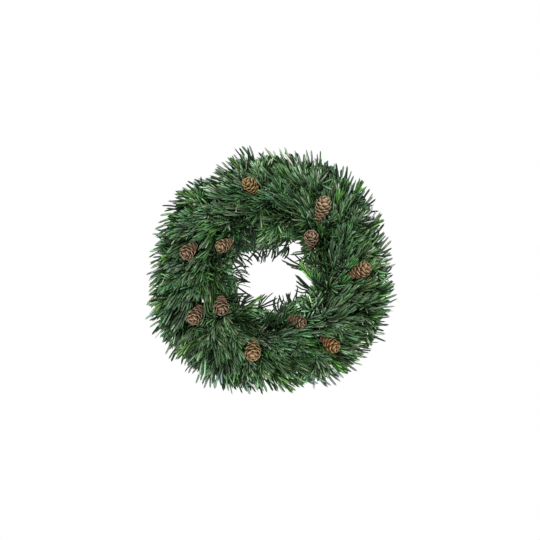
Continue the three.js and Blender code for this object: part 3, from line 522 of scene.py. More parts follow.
def hides_cone(p):
    """Which points lie in front of a pinecone as seen from the front."""
    hit = np.zeros(p.shape[:-1], bool)
    for i in range(len(CONES)):
        tip = cone_base[i] + cone_axis[i] * cone_len[i]
        a = cone_base[i][[0, 2]] * 0.42 + tip[[0, 2]] * 0.58
        b = tip[[0, 2]]
        q = p[..., [0, 2]] - a
        ab = b - a
        s = np.clip((q @ ab) / max(ab @ ab, 1e-6), 0, 1)
        d = np.linalg.norm(q - s[..., None] * ab, axis=-1)
        hit |= (d < cone_wid[i] * 0.34) & (p[..., 1] < cone_mid[i][1] + 4)
    return hit


GREENS = np.array([1.38, 1.18, 1.42]) * to_linear([(42, 70, 39), (56, 87, 54), (76, 102, 74), (46, 83, 58), (64, 92, 45), (94, 116, 91)])
FRESH = to_linear([(57, 92, 42), (66, 99, 49), (51, 85, 41)])
BARK = to_linear((62, 55, 42))


# ---------------------------------------------------------------- cover, seen from the front
CELL = 4.0
HALF_CELLS = 60
cover = np.zeros((2 * HALF_CELLS, 2 * HALF_CELLS))


def spread(p, d1, d2, length, width):
    """Adds the area of needles to the map of cover."""
    for f in (0.1, 0.3, 0.5, 0.7, 0.9):
        q = p + d1 * (length * min(f, 0.5))[:, None] + d2 * (length * max(f - 0.5, 0.0))[:, None]
        i = np.clip((q[:, 0] / CELL + HALF_CELLS).astype(int), 0, 2 * HALF_CELLS - 1)
        j = np.clip((q[:, 2] / CELL + HALF_CELLS).astype(int), 0, 2 * HALF_CELLS - 1)
        np.add.at(cover, (i, j), length * width * 0.7 / 5 / CELL**2)


def smoothed(a):
    out = np.zeros_like(a)
    for i in (-1, 0, 1):
        for j in (-1, 0, 1):
            out += np.roll(np.roll(a, i, 0), j, 1) * (0.25 if i and j else (0.5 if i or j else 1.0))
    return out / 4.0


# kind: lean of the blades at the start and end of a shoot, how far they lie over, blade length, count, painted shade
# (darker for the low, fill and stem shoots under the others, darkest for the needles in the opening, seen against the
# light), and whether they may pass the dense greenery; a fan has its blades side by side, spread by its first angle
# where they leave the shoot and by its second at their tips
KINDS = {
    "edge": dict(fan=(40, 10), over=0.0, size=(33, 41), count=4, painted_shade=0.95, free=True),
    "fringe": dict(fan=(42, 8), over=0.0, size=(38, 50), count=6, painted_shade=0.125, free=True),
    "plain": dict(lean=(36, 20), over=0.6, size=(28, 37), count=22, painted_shade=1.0, free=False),
    "star": dict(lean=(68, 46), over=0.08, size=(33, 39), count=36, painted_shade=1.0, free=False),
    "young": dict(lean=(40, 26), over=0.35, size=(23, 29), count=24, painted_shade=1.0, free=True),
    "low": dict(lean=(46, 32), over=0.5, size=(26, 32), count=18, painted_shade=0.64, free=False),
    "fill": dict(lean=(42, 28), over=0.5, size=(28, 35), count=18, painted_shade=0.74, free=False),
    "stem": dict(lean=(54, 38), over=0.3, size=(26, 32), count=36, painted_shade=0.5, free=False),
}


WAVES = np.random.RandomState(31)
WAVES = [(WAVES.normal(size=2), WAVES.uniform(60, 150), WAVES.uniform(0, 6.28)) for _ in range(9)]


def drift(p):
    """A slow change of the greenery's colour over the wreath."""
    total = 0.0
    for way, size, start in WAVES:
        way = way / np.hypot(*way)
        total = total + np.sin((p[..., 0] * way[0] + p[..., 2] * way[1]) / size * 2 * np.pi + start)
    return total * (2 / len(WAVES)) ** 0.5


def shoot(mesh, rng, line, kind, base_tint):
    """Needles all round one shoot, pointing forward, with a tuft at its end."""
    rule = KINDS[kind]
    n = rule["count"]
    seg = np.concatenate([[0], np.cumsum(np.linalg.norm(np.diff(line, axis=0), axis=1))])
    tuft = 0 if kind == "stem" or "fan" in rule else max(5, int(n * 0.26))
    first = 0.3 if kind == "stem" else 0.12
    t = np.concatenate([np.sort(rng.uniform(first, 1.0, n - tuft)) ** 0.9, np.full(tuft, 0.985)])
    fan = np.linspace(-1.0, 1.0, n) * (1 if rng.uniform() < 0.5 else -1)
    if "fan" in rule:
        t = 0.99 - 0.3 * np.abs(fan) * rng.uniform(0.5, 1.0, n)
    s = t * seg[-1]
    p = np.stack([np.interp(s, seg, line[:, i]) for i in range(3)], -1)
    tt, nn, bb = frames_along(line)
    tan = unit(np.stack([np.interp(s, seg, tt[:, i]) for i in range(3)], -1))
    ref = unit(np.stack([np.interp(s, seg, nn[:, i]) for i in range(3)], -1))
    bit = unit(np.cross(tan, ref))
    ref = np.cross(bit, tan)
    turn = np.arange(n) * 2.39996 + rng.uniform(0, 6.28) + rng.normal(size=n) * 0.25
    rad = np.cos(turn)[:, None] * ref + np.sin(turn)[:, None] * bit
    way = lie(p, kind == "fringe")
    if "fan" in rule:
        # an open fan, seen from the front, whose tips turn back towards the shoot's own direction
        rad = unit(np.cross(tan, np.array([0.0, -1.0, 0.0])))
        dip = rng.normal(size=n) * 0.16
        lean = np.radians(rule["fan"][0] * fan) + rng.normal(size=n) * 0.06
        d1 = np.cos(lean)[:, None] * tan + np.sin(lean)[:, None] * rad + dip[:, None] * np.array([0.0, -1.0, 0.0])
        lean = np.radians(rule["fan"][1] * fan) + rng.normal(size=n) * 0.07
        d2 = np.cos(lean)[:, None] * tan + np.sin(lean)[:, None] * rad + dip[:, None] * np.array([0.0, -1.0, 0.0])
        curl = (0.22 * rng.uniform(0.4, 1.2) if kind == "edge" else 0.66 * rng.uniform(0.45, 1.1)) * way_turn(p)
        d1, d2 = unit(d1 - 0.4 * curl), unit(d2 + curl)
    else:
        l0, l1 = rule["lean"]
        lean = np.radians(np.where(t < 0.97, l0 + (l1 - l0) * t, rng.uniform(5, l1, n))) + rng.normal(size=n) * 0.15
        d1 = np.cos(lean)[:, None] * tan + np.sin(lean)[:, None] * rad
        # the blades lie over in the direction the sprigs are laid, and bend that way
        front = np.clip(np.sin(to_section(p)[2]), 0, 1)[:, None]
        d1 = unit(d1 + rule["over"] * (1.0 + 0.6 * front) * way)
        bend = rng.normal(size=3) * 0.2
        d2 = unit(d1 + tan * rng.uniform(0.15, 0.65, n)[:, None] + way * 0.45 + bend * 1.15 + rng.normal(size=(n, 3)) * 0.16)
    theta, rho, phi = to_section(p)
    edge = 0.93 + 0.11 * rng.uniform(0, 1, n)
    dense = not rule["free"]
    length = rng.uniform(*rule["size"], n) * rng.uniform(0.86, 1.1, n) * np.where(t < 0.97, 0.88 + 0.16 * t, 0.88)
    # keep the outline: a needle that would pass it is shorter
    for _ in range(3):
        tip = p + (d1 + d2) * (length / 2)[:, None]
        th, rh, ph = to_section(tip)
        limit = tip_reach(th, ph, dense) * edge
        passed = rh > limit
        length = np.where(passed, length * np.clip(limit / rh, 0.72, 0.97) - 0.4, length)
    tip = p + (d1 + d2) * (length / 2)[:, None]
    th, rh, ph = to_section(tip)
    ok = (rh < tip_reach(th, ph, dense) * 1.06) & (length > 13)
    mid = p + d1 * (length / 2)[:, None]
    samples = np.stack([p, (p + mid) / 2, mid, (mid + tip) / 2, tip], 1)
    ok &= ~in_cones(samples, 0.8).any(1)
    hidden = hides_cone(samples).sum(1)
    ok &= (hidden == 0) | ((hidden <= 1) & (rng.uniform(size=n) < 0.5))
    # the flat side looks to the front and away from the core, more or less
    outward = unit(np.stack([np.cos(phi) * np.cos(theta), -np.sin(phi), np.cos(phi) * np.sin(theta)], -1))
    facing = np.array([0.0, -1.0, 0.0]) * np.where(np.sin(phi) > -0.5, 1.0, -0.6)[:, None]
    flat = unit(outward * 0.5 + facing + rng.normal(size=(n, 3)) * 0.36)
    width = rng.uniform(3.0, 4.2, n) * {"edge": 1.08, "fringe": 0.84}.get(kind, 1.0)
    thick = width * 0.26
    lum = np.minimum(np.exp(rng.normal(size=n) * 0.43 + 0.06), 2.0)
    # painted shade: needles deep in the greenery are painted darker, where the shade falls; older needles there are
    # darker as well
    depth_shade = np.interp(rh / tip_reach(th, ph), [0.35, 0.6, 0.85, 1.0], [0.25, 0.45, 0.92, 1.16])[:, None] ** np.array([1.36, 0.92, 1.68])
    seen = p + (d1 * 0.5 + d2 * 0.25) * length[:, None]
    across = place_across(th, np.hypot(seen[:, 0], seen[:, 2]))
    # painted light and shade by the needle's place between the opening and the outline, with a slow wave over the
    # wreath
    light = np.interp(across, PAINTED_LIGHT_AT, PAINTED_LIGHT) * np.exp(0.1 * drift(seen))
    # on the outside some of the needles between the light ends are made nearly black
    blackened = np.mod(turn * 7.31, 1.0) < 0.33 * np.interp(across, [0.72, 0.84], [0.0, 1.0])
    light = np.where(blackened, light * 0.16, light)
    if kind in ("young", "fringe"):
        light = np.minimum(light, 1.0)
    own = GREENS[rng.randint(len(GREENS), size=n)] if kind != "young" else base_tint[None]
    # some needles and some shoots are a purer green, others greyer
    pure = np.maximum(rng.normal(size=n) * 0.15 + rng.normal() * 0.12 + 0.05 * drift(seen[:, [2, 1, 0]]), -0.2)
    pure = np.exp(pure[:, None] * np.array([-0.5, 0.5, -0.5]) + rng.normal(size=(n, 3)) * np.array([0.05, 0.0, 0.06]))
    hue = pure * (0.6 * base_tint[None] + 0.4 * own) * depth_shade * rule["painted_shade"]
    hue = hue * (lum * np.minimum(light, 1.0))[:, None] ** np.array([1.08, 0.92, 1.12]) * np.maximum(light, 1.0)[:, None]
    # the needles in the opening get a deeper green in their painted shade
    if kind == "fringe":
        hue = hue * np.array([0.78, 1.15, 0.74])
    pale = rng.uniform(size=n) < 0.1
    hue = np.where(pale[:, None], hue * np.array([1.22, 1.18, 1.2]), hue)
    p0 = settle(p)
    tip = settle(tip)
    mid = settle(mid)
    d1 = unit(mid - p0)
    d2 = unit(tip - mid)
    shape = LONG_BLADE if "fan" in rule else SHORT_BLADE
    needles(mesh, p0[ok], d1[ok], d2[ok], flat[ok], length[ok], width[ok], thick[ok], hue[ok], shape)
    spread(p0[ok], d1[ok], d2[ok], length[ok], width[ok])


# shoots of a sprig: long ones that reach the outline, shorter ones, and low ones close to the binding
SHOOTS = {
    "outer_sprig": (16, 14, 8),
    "shoulder_sprig": (12, 8, 5),
    "front_sprig": (13, 8, 6),
    "inner_sprig": (4, 13, 8),
}
FIRST_KIND = {"outer_sprig": "edge", "inner_sprig": "fringe"}

sprig_shoots = {}
for name in STEMS:
    row_name, number = name.rsplit("_", 1)
    row = ROWS[row_name]
    i = int(number) - 1
    theta0 = math.radians(row["first"]) + i / row["count"] * 2 * math.pi
    rng = np.random.RandomState(100 * list(ROWS).index(row_name) + i + 7)
    spots = []
    for group, many in enumerate(SHOOTS[row_name]):
        shift_a, shift_b = rng.uniform(size=2)
        for m in range(many):
            # evenly spread places in the sprig's own space
            a = 2.0 * ((shift_a + m * 0.7548777) % 1.0 - 0.5)
            b = 2.0 * ((shift_b + m * 0.5698403) % 1.0 - 0.5)
            kind = "plain"
            if group == 2:
                kind = "low"
                end = cell(row, theta0, np.array([rng.uniform(0.08, 0.3)]), np.array([a]), np.array([b * 1.25]))[0]
            elif group == 0 and row_name in FIRST_KIND:
                kind = FIRST_KIND[row_name]
                a = 2.0 * (m + rng.uniform(0.2, 0.8)) / many - 1.0
                gap = rng.uniform(24, 40) if kind == "edge" else rng.uniform(13, 25)
                end = shoot_end(row, theta0, gap, a, b)
            else:
                gap = rng.uniform(14, 23) if group == 0 else rng.uniform(24, 38)
                end = shoot_end(row, theta0, gap, a, b, True)
            spots.append((end, kind))
    sprig_shoots[name] = dict(row=row, theta0=theta0, rng=rng, spots=spots)



def surface(x, z, depth=0.8):
    """The point of the greenery's front that is seen at x, z."""
    theta = math.atan2(z, x)
    u = math.hypot(x, z) - RING_R
    across = float(tip_edge(np.array(theta)) - RING_R if u > 0 else RING_R - tip_hole(np.array(theta)))
    v = depth * FRONT_REACH * math.sqrt(max(0.04, 1 - min(abs(u) / across, 1.0) ** 2))
    return ring_point(theta, u, v).reshape(3)


totals = 0


# ---------------------------------------------------------------- materials
def material(name):
    m = bpy.data.materials.new(name)
    m.use_nodes = True
    return m, m.node_tree.nodes, m.node_tree.links, m.node_tree.nodes["Principled BSDF"]


def attribute(nodes, name):
    n = nodes.new("ShaderNodeAttribute")
    n.attribute_type = "GEOMETRY"
    n.attribute_name = name
    return n


def ramp(nodes, links, source, stops):
    n = nodes.new("ShaderNodeValToRGB")
    e = n.color_ramp.elements
    while len(e) < len(stops):
        e.new(0.5)
    for el, (pos, value) in zip(e, stops):
        el.position = pos
        v = value if isinstance(value, (tuple, list, np.ndarray)) else (value, value, value)
        el.color = (*[float(x) for x in v], 1.0)
    links.new(source, n.inputs["Fac"])
    return n.outputs["Color"]


def multiply(nodes, links, a, b, factor=1.0):
    n = nodes.new("ShaderNodeMix")
    n.data_type = "RGBA"
    n.blend_type = "MULTIPLY"
    n.inputs["Factor"].default_value = factor
    links.new(a, n.inputs["A"])
    links.new(b, n.inputs["B"])
    return n.outputs["Result"]


def noise(nodes, links, scale, detail=3.0, rough=0.55, stretch=None):
    c = nodes.new("ShaderNodeTexCoord")
    n = nodes.new("ShaderNodeTexNoise")
    n.inputs["Scale"].default_value = scale
    n.inputs["Detail"].default_value = detail
    n.inputs["Roughness"].default_value = rough
    if stretch:
        k = nodes.new("ShaderNodeMapping")
        k.inputs["Scale"].default_value = stretch
        links.new(c.outputs["Object"], k.inputs["Vector"])
        links.new(k.outputs["Vector"], n.inputs["Vector"])
    else:
        links.new(c.outputs["Object"], n.inputs["Vector"])
    return n.outputs["Fac"]


def bump(nodes, links, bsdf, height, strength, distance):
    n = nodes.new("ShaderNodeBump")
    n.inputs["Strength"].default_value = strength
    n.inputs["Distance"].default_value = distance
    links.new(height, n.inputs["Height"])
    links.new(n.outputs["Normal"], bsdf.inputs["Normal"])


def absolute(nodes, links, source):
    n = nodes.new("ShaderNodeMath")
    n.operation = "ABSOLUTE"
    links.new(source, n.inputs[0])
    return n.outputs[0]


def needle_material():
    m, nodes, links, bsdf = material("needle")
    tint = attribute(nodes, "tint").outputs["Color"]
    # painted shade: each needle is dark at its base, where it goes into the shoot, and lighter towards its tip
    along = ramp(nodes, links, attribute(nodes, "along").outputs["Fac"], [(0.0, (0.13, 0.18, 0.1)), (0.3, (0.52, 0.59, 0.46)), (0.58, (1.0, 1.0, 1.0)), (0.9, (1.18, 1.18, 1.16)), (1.0, (1.05, 1.02, 0.96))])
    # painted highlight along the keel of each needle and painted shade towards its two edges
    across = absolute(nodes, links, attribute(nodes, "across").outputs["Fac"])
    keel_highlight_edge_shade = ramp(nodes, links, across, [(0.0, 1.42), (0.4, 1.2), (0.75, 0.8), (1.0, 0.33)])
    fine = ramp(nodes, links, noise(nodes, links, 210.0, 4.0, 0.6), [(0.3, 0.8), (0.7, 1.16)])
    c = multiply(nodes, links, tint, along)
    c = multiply(nodes, links, c, keel_highlight_edge_shade)
    c = multiply(nodes, links, c, fine)
    links.new(c, bsdf.inputs["Base Color"])
    bsdf.inputs["Roughness"].default_value = 0.55
    bsdf.inputs["Specular IOR Level"].default_value = 0.13
    bump(nodes, links, bsdf, noise(nodes, links, 1400.0, 2.0), 0.25, 0.0004)
    return m


def bark_material():
    m, nodes, links, bsdf = material("bark")
    tint = attribute(nodes, "tint").outputs["Color"]
    ridge = noise(nodes, links, 420.0, 5.0, 0.65, (1.0, 1.0, 1.0))
    c = multiply(nodes, links, tint, ramp(nodes, links, ridge, [(0.32, 0.45), (0.5, 0.9), (0.68, 1.35)]))
    patch = noise(nodes, links, 90.0, 2.0)
    c = multiply(nodes, links, c, ramp(nodes, links, patch, [(0.35, (0.8, 0.86, 0.8)), (0.65, (1.15, 1.05, 1.0))]))
    links.new(c, bsdf.inputs["Base Color"])
    bsdf.inputs["Roughness"].default_value = 0.82
    bump(nodes, links, bsdf, ridge, 0.7, 0.0012)
    return m


def scaled(nodes, links, source, factor):
    n = nodes.new("ShaderNodeMath")
    n.operation = "MULTIPLY"
    n.inputs[1].default_value = factor
    links.new(source, n.inputs[0])
    return n.outputs[0]


def scale_material():
    m, nodes, links, bsdf = material("cone_scale")
    tint = attribute(nodes, "tint").outputs["Color"]
    lengthwise = attribute(nodes, "along").outputs["Fac"]
    crosswise = attribute(nodes, "across").outputs["Fac"]
    # painted shade in the gaps between the scales: each scale is dark low down, under the end of the one before, and
    # darker towards its sides; that hidden part is also a darker red-brown, the end light tan
    along = ramp(
        nodes, links, lengthwise,
        [(0.0, (0.16, 0.1, 0.07)), (0.5, (0.28, 0.2, 0.15)), (0.64, (0.56, 0.48, 0.4)), (0.78, (0.88, 0.86, 0.84)), (0.94, (1.02, 1.01, 1.0)), (1.0, (0.8, 0.76, 0.72))],
    )
    edge = ramp(nodes, links, absolute(nodes, links, crosswise), [(0.0, 1.06), (0.6, 1.0), (1.0, 0.66)])
    # fibres that run lengthwise and differ from scale to scale
    split = nodes.new("ShaderNodeSeparateColor")
    links.new(tint, split.inputs["Color"])
    place = nodes.new("ShaderNodeCombineXYZ")
    links.new(scaled(nodes, links, crosswise, 5.0), place.inputs["X"])
    links.new(scaled(nodes, links, lengthwise, 1.3), place.inputs["Y"])
    links.new(scaled(nodes, links, split.outputs["Red"], 90.0), place.inputs["Z"])
    fibre = nodes.new("ShaderNodeTexNoise")
    fibre.inputs["Scale"].default_value = 2.2
    fibre.inputs["Detail"].default_value = 5.0
    fibre.inputs["Roughness"].default_value = 0.62
    links.new(place.outputs["Vector"], fibre.inputs["Vector"])
    fibre = fibre.outputs["Fac"]
    patch = noise(nodes, links, 130.0, 4.0)
    c = multiply(nodes, links, tint, along)
    c = multiply(nodes, links, c, edge)
    c = multiply(nodes, links, c, ramp(nodes, links, fibre, [(0.32, 0.66), (0.5, 1.0), (0.68, 1.22)]))
    c = multiply(nodes, links, c, ramp(nodes, links, patch, [(0.3, (0.86, 0.8, 0.74)), (0.7, (1.12, 1.1, 1.08))]))
    links.new(c, bsdf.inputs["Base Color"])
    bsdf.inputs["Roughness"].default_value = 0.72
    bsdf.inputs["Specular IOR Level"].default_value = 0.3
    bump(nodes, links, bsdf, fibre, 0.5, 0.0007)
    return m


def wire_material(name, dark, light, metal, rough, chips=None):
    m, nodes, links, bsdf = material(name)
    cloud = noise(nodes, links, 160.0, 4.0, 0.6)
    c = ramp(nodes, links, cloud, [(0.3, dark), (0.7, light)])
    if chips is not None:
        spot = ramp(nodes, links, noise(nodes, links, 700.0, 3.0, 0.7), [(0.66, 0.0), (0.72, 1.0)])
        mix = nodes.new("ShaderNodeMix")
        mix.data_type = "RGBA"
        links.new(spot, mix.inputs["Factor"])
        links.new(c, mix.inputs["A"])
        mix.inputs["B"].default_value = (*[float(x) for x in chips], 1.0)
        c = mix.outputs["Result"]
    links.new(c, bsdf.inputs["Base Color"])
    links.new(ramp(nodes, links, cloud, [(0.3, rough - 0.07), (0.7, rough + 0.12)]), bsdf.inputs["Roughness"])
    bsdf.inputs["Metallic"].default_value = metal
    bump(nodes, links, bsdf, noise(nodes, links, 900.0, 3.0), 0.18, 0.0003)
    return m


NEEDLE = needle_material()
TWIG = bark_material()
SCALE = scale_material()
FRAME = wire_material("lacquered_wire", to_linear((34, 62, 40)), to_linear((48, 84, 56)), 0.0, 0.38, to_linear((120, 122, 116)))
BINDING = wire_material("binding_lacquer", to_linear((38, 70, 44)), to_linear((56, 96, 62)), 0.0, 0.34, to_linear((134, 136, 130)))
BROWN = wire_material("brown_wire", to_linear((74, 56, 40)), to_linear((98, 76, 54)), 0.0, 0.45, to_linear((140, 130, 118)))
ZINC = wire_material("zinc_wire", to_linear((150, 152, 152)), to_linear((196, 198, 198)), 1.0, 0.34)

# ---------------------------------------------------------------- sprigs
def grow(name, end, kind):
    """A side shoot of a sprig, from its stem to end, with its needles."""
    info = sprig_shoots[name]
    rng, stem, mesh = info["rng"], info["stem"], info["mesh"]
    k = rng.uniform(0.5, 0.68) if kind in ("low", "fill") else rng.uniform(0.58, 0.86)
    f = k * (len(stem) - 1)
    i0 = int(f)
    p0 = stem[i0] * (1 - (f - i0)) + stem[min(i0 + 1, len(stem) - 1)] * (f - i0)
    along = unit(stem[min(i0 + 1, len(stem) - 1)] - stem[max(i0 - 1, 0)])
    if kind == "star":
        end = end + np.array([0.0, -4.0, 0.0])
        p1 = end + np.array([0.0, 22.0, 0.0]) * 0.6 + (p0 - end) * 0.35
    elif kind in ("low", "fill"):
        p1 = p0 + along * np.linalg.norm(end - p0) * 0.42 + rng.normal(size=3) * 2.0
    else:
        stray = 0.05 if "fan" in KINDS[kind] else 0.16
        p1 = end - unit(lie(end, kind == "fringe") + rng.normal(size=3) * stray) * np.linalg.norm(end - p0) * 0.5
    t = np.linspace(0, 1, 8)[:, None]
    line = p0 * (1 - t) ** 2 + p1 * 2 * t * (1 - t) + end * t**2
    ok = ~in_cones(line, 2.5)
    if not ok.all():
        line = line[: max(4, int(np.argmin(ok)))]
    line = settle(line)
    young = kind == "young"
    thick = np.linspace(1.2, 0.55, len(line))
    bark = BARK * rng.uniform(0.7, 1.1) * (np.array([0.8, 1.2, 0.8]) if young else np.array([0.9, 1.0, 0.85]))
    tube(mesh, line, thick, 5, 1, bark, rng, 0.08)
    base = 0.4 * GREENS[rng.randint(len(GREENS))] + 0.6 * info["greens"]
    base = base * np.exp(rng.normal() * 0.06)
    if young:
        base = FRESH[rng.randint(len(FRESH))] * rng.uniform(0.85, 1.1)
    shoot(mesh, rng, line, kind, base)


for name, info in sprig_shoots.items():
    rng = info["rng"]
    mesh = info["mesh"] = Mesh()
    stem = info["stem"] = smooth_line(STEMS[name], 30)
    radius = np.interp(np.linspace(0, 1, len(stem)), [0, 0.6, 1], [STEM_R, STEM_R * 0.92, STEM_R * 0.66])
    tube(mesh, stem, radius, 9, 1, BARK * 0.9, rng, 0.05)
    # the pale cut at the end of the stem
    t0 = unit(stem[0] - stem[1])
    cut = np.array([stem[0] - t0 * 0.5, stem[0] + t0 * 0.35])
    tube(mesh, cut, STEM_R * 0.86, 9, 1, to_linear((196, 172, 128)))
    info["greens"] = GREENS[rng.randint(len(GREENS), size=3)].mean(0)
    shoot(mesh, rng, stem, "stem", info["greens"])
    for end, kind in info["spots"]:
        grow(name, end, kind)

# the stars and the young shoots, each on the sprig that is nearest
holders = list(sprig_shoots)
holder_mid = np.array([sprig_shoots[h]["stem"][18] for h in holders])
for places, kind, depth in ((STARS, "star", 0.74), (YOUNG, "young", 0.76)):
    for x, z in places:
        spot = surface(x, z, depth)
        d = np.linalg.norm((holder_mid - spot) * np.array([1.0, 0.6, 1.0]), axis=1)
        grow(holders[int(np.argmin(d))], spot, kind)

# where the greenery is still thin, the sprig that is nearest gets one more shoot
gx, gz = np.meshgrid((np.arange(2 * HALF_CELLS) - HALF_CELLS + 0.5) * CELL, (np.arange(2 * HALF_CELLS) - HALF_CELLS + 0.5) * CELL, indexing="ij")
gr, gt = np.hypot(gx, gz), np.arctan2(gz, gx)
inside = (gr > tip_hole(gt, True) + 10.0) & (gr < tip_edge(gt) - DENSE_BACK - 10.0)
rng = np.random.RandomState(5150)
fills = 0
while fills < 260:
    thin = np.where(inside, smoothed(cover), 99.0)
    i, j = np.unravel_index(int(np.argmin(thin)), thin.shape)
    if thin[i, j] > 6.5:
        break
    x, z = gx[i, j], gz[i, j]
    spot = np.array([x, -rng.uniform(6.0, 30.0), z])
    d = np.linalg.norm((holder_mid - spot) * np.array([1.0, 0.6, 1.0]), axis=1)
    before = cover[i, j]
    grow(holders[int(np.argmin(d))], spot, "fill")
    fills += 1
    if cover[max(i - 1, 0) : i + 2, max(j - 1, 0) : j + 2].mean() < before + 0.3:
        # a pinecone keeps the needles away from here
        inside[max(i - 1, 0) : i + 2, max(j - 1, 0) : j + 2] = False
print("fill shoots", fills)

for name, info in sprig_shoots.items():
    ob = info["mesh"].build(name + "_foliage", [NEEDLE, TWIG], "greenery", [name])
    totals += sum(len(p.vertices) - 2 for p in ob.data.polygons)

# ---------------------------------------------------------------- pinecones
CONE_TINTS = 0.585 * to_linear([
    (176, 152, 98), (168, 150, 122), (154, 134, 112), (168, 142, 106), (160, 140, 108), (156, 134, 110),
    (158, 136, 110), (154, 134, 112), (172, 148, 104), (140, 124, 98), (170, 136, 86),
])


def pinecone(index):
    rng = np.random.RandomState(900 + index)
    length, width, axis, base = cone_len[index], cone_wid[index], cone_axis[index], cone_base[index]
    e1 = unit(np.cross(axis, [0.0, 1.0, 0.2]))
    e2 = np.cross(axis, e1)
    tone = CONE_TINTS[index]
    mesh = Mesh()

    def place(rho, ang, z):
        return base + axis * z[..., None] + rho[..., None] * (
            np.cos(ang)[..., None] * e1 + np.sin(ang)[..., None] * e2
        )

    # the woody core with its stalk
    zs = np.array([0.0, 0.4, 2.2, 2.8, 4.2, 5.0, 8.0, length * 0.3, length * 0.6, length * 0.85, length - 3.0])
    rs = np.array([0.14, 0.215, 0.215, 0.185, 0.185, 0.2, 0.22, 0.26, 0.28, 0.2, 0.08]) * width
    ang = np.arange(14) / 14 * 2 * np.pi
    co = place(np.repeat(rs, 14), np.tile(ang, len(zs)), np.repeat(zs, 14))
    i = np.arange(len(zs) - 1)[:, None] * 14
    j = np.arange(14)[None]
    quads = np.stack([i + j, i + (j + 1) % 14, i + 14 + (j + 1) % 14, i + 14 + j], -1).reshape(-1, 4)
    m = len(co)
    co = np.concatenate([co, [base + axis * 0.1, base + axis * (length - 2.4)]])
    js = np.arange(14)
    last = (len(zs) - 1) * 14
    caps = [
        np.stack([np.full(14, m), (js + 1) % 14, js], -1),
        np.stack([np.full(14, m + 1), last + js, last + (js + 1) % 14], -1),
    ]
    mesh.add(co, [quads, *caps], 0, tone * 0.8, 0.42, 0.0, True)

    # the cone's outline from its neck to its tip, on which the scales lie with equal room each
    zc = np.linspace(4.9, length * 0.97, 90)
    rc = cone_profile(zc / length) * width / 2
    turn = np.linspace(0, np.pi / 2, 14)[1:]
    zc, rc = np.append(zc, length * (0.97 + 0.03 * np.sin(turn))), np.append(rc, rc[-1] * np.cos(turn))
    sc = np.concatenate([[0], np.cumsum(np.hypot(np.diff(rc), np.diff(zc)))])
    tr, tz = np.gradient(rc, sc), np.gradient(zc, sc)
    nr, nz = tz / np.hypot(tr, tz), -tr / np.hypot(tr, tz)
    room = np.interp(sc / sc[-1], [0, 0.35, 0.8, 1.0], [1.9, 1.0, 1.0, 1.5]) * np.maximum(rc, 1.0)
    room = np.concatenate([[0], np.cumsum((room[1:] + room[:-1]) / 2 * np.diff(sc))])
    whole = sc[-1]

    count = int(round(42 * length / 46))
    nu, nv = 7, 6
    us = np.linspace(-1, 1, nu)
    vs = np.array([0.0, 0.34, 0.6, 0.8, 0.94, 1.0])
    uu, vv = np.meshgrid(us, vs, indexing="ij")
    prof_w = np.interp(vs, [0, 0.34, 0.6, 0.8, 0.94, 1.0], [0.56, 0.84, 0.98, 1.0, 0.86, 0.58])[None]
    for k in range(count):
        mid = np.interp((k + 0.5) / count * room[-1], room, sc)
        t = mid / whole
        rise = np.interp(t, [0, 0.1, 0.3, 0.6, 0.9, 1.0], [4.0, 5.6, 8.2, 9.6, 8.8, 6.4]) * (length / 48)
        phi = k * 2.399963 + rng.normal() * 0.05
        s = np.clip(mid + rise * (vv - 0.56) - rise * 0.13 * uu**2 * vv, 0.0, whole - 0.25)
        r, z = np.interp(s, sc, rc), np.interp(s, sc, zc)
        n_r, n_z = np.interp(s, sc, nr), np.interp(s, sc, nz)
        here = float(np.interp(mid, sc, rc))
        half = min(np.interp(t, [0, 0.2, 0.6, 1.0], [3.8, 5.4, 7.1, 6.2]) * (width / 27) / max(here, 1.0), 1.3)
        depth = np.minimum(here * 0.44, 4.6)
        off = -depth * (1 - vv**0.8) + rng.uniform(0.0, 0.5) * vv**3 - 0.5 * uu**2 * (0.3 + vv)
        # the end of the scale is a low rhombic boss that turns in at its rim
        off = off - 0.5 * np.clip((vv - 0.88) / 0.12, 0, 1) ** 2
        off = off + 0.4 * np.exp(-((uu / 0.36) ** 2) - ((vv - 0.86) / 0.12) ** 2)
        angle = phi + uu * half * prof_w
        outer = place(np.maximum(r + n_r * off, 0.35), angle, z + n_z * off)
        thick = (0.5 + 0.95 * np.clip((vv - 0.35) / 0.5, 0, 1)) * (1 - 0.45 * uu**2) * np.where(vv > 0.98, 0.5, 1.0)
        inner = place(np.maximum(r + n_r * (off - thick), 0.15), angle, z + n_z * (off - thick))
        grid = np.arange(nu * nv).reshape(nu, nv)
        a = grid[:-1, :-1].ravel()
        b = grid[1:, :-1].ravel()
        c = grid[1:, 1:].ravel()
        d = grid[:-1, 1:].ravel()
        off = nu * nv
        front = np.stack([a, b, c, d], -1)
        back = np.stack([a, d, c, b], -1) + off
        rim = np.concatenate([grid[:, 0], grid[-1, 1:], grid[-2::-1, -1], grid[0, -2:0:-1]])
        nxt = np.roll(rim, -1)
        side = np.stack([rim, rim + off, nxt + off, nxt], -1)
        tint = tone * rng.uniform(0.8, 1.18) * (1 + rng.normal(size=3) * 0.035)
        # the small scales round the stalk are redder and darker
        tint = tint * (1 - np.array([0.16, 0.3, 0.42]) * np.interp(t, [0.0, 0.12, 0.4], [1.0, 0.8, 0.0]))
        mesh.add(
            np.concatenate([outer.reshape(-1, 3), inner.reshape(-1, 3)]),
            [front, back, side],
            0,
            tint,
            np.concatenate([vv.ravel(), vv.ravel() * 0.8]),
            np.concatenate([uu.ravel(), uu.ravel()]),
            True,
        )
    name = f"pinecone_{index + 1:02d}"
    return mesh.build(name + "_scales", [SCALE], "pinecone", [name])


for index in range(len(CONES)):
    ob = pinecone(index)
    totals += sum(len(p.vertices) - 2 for p in ob.data.polygons)

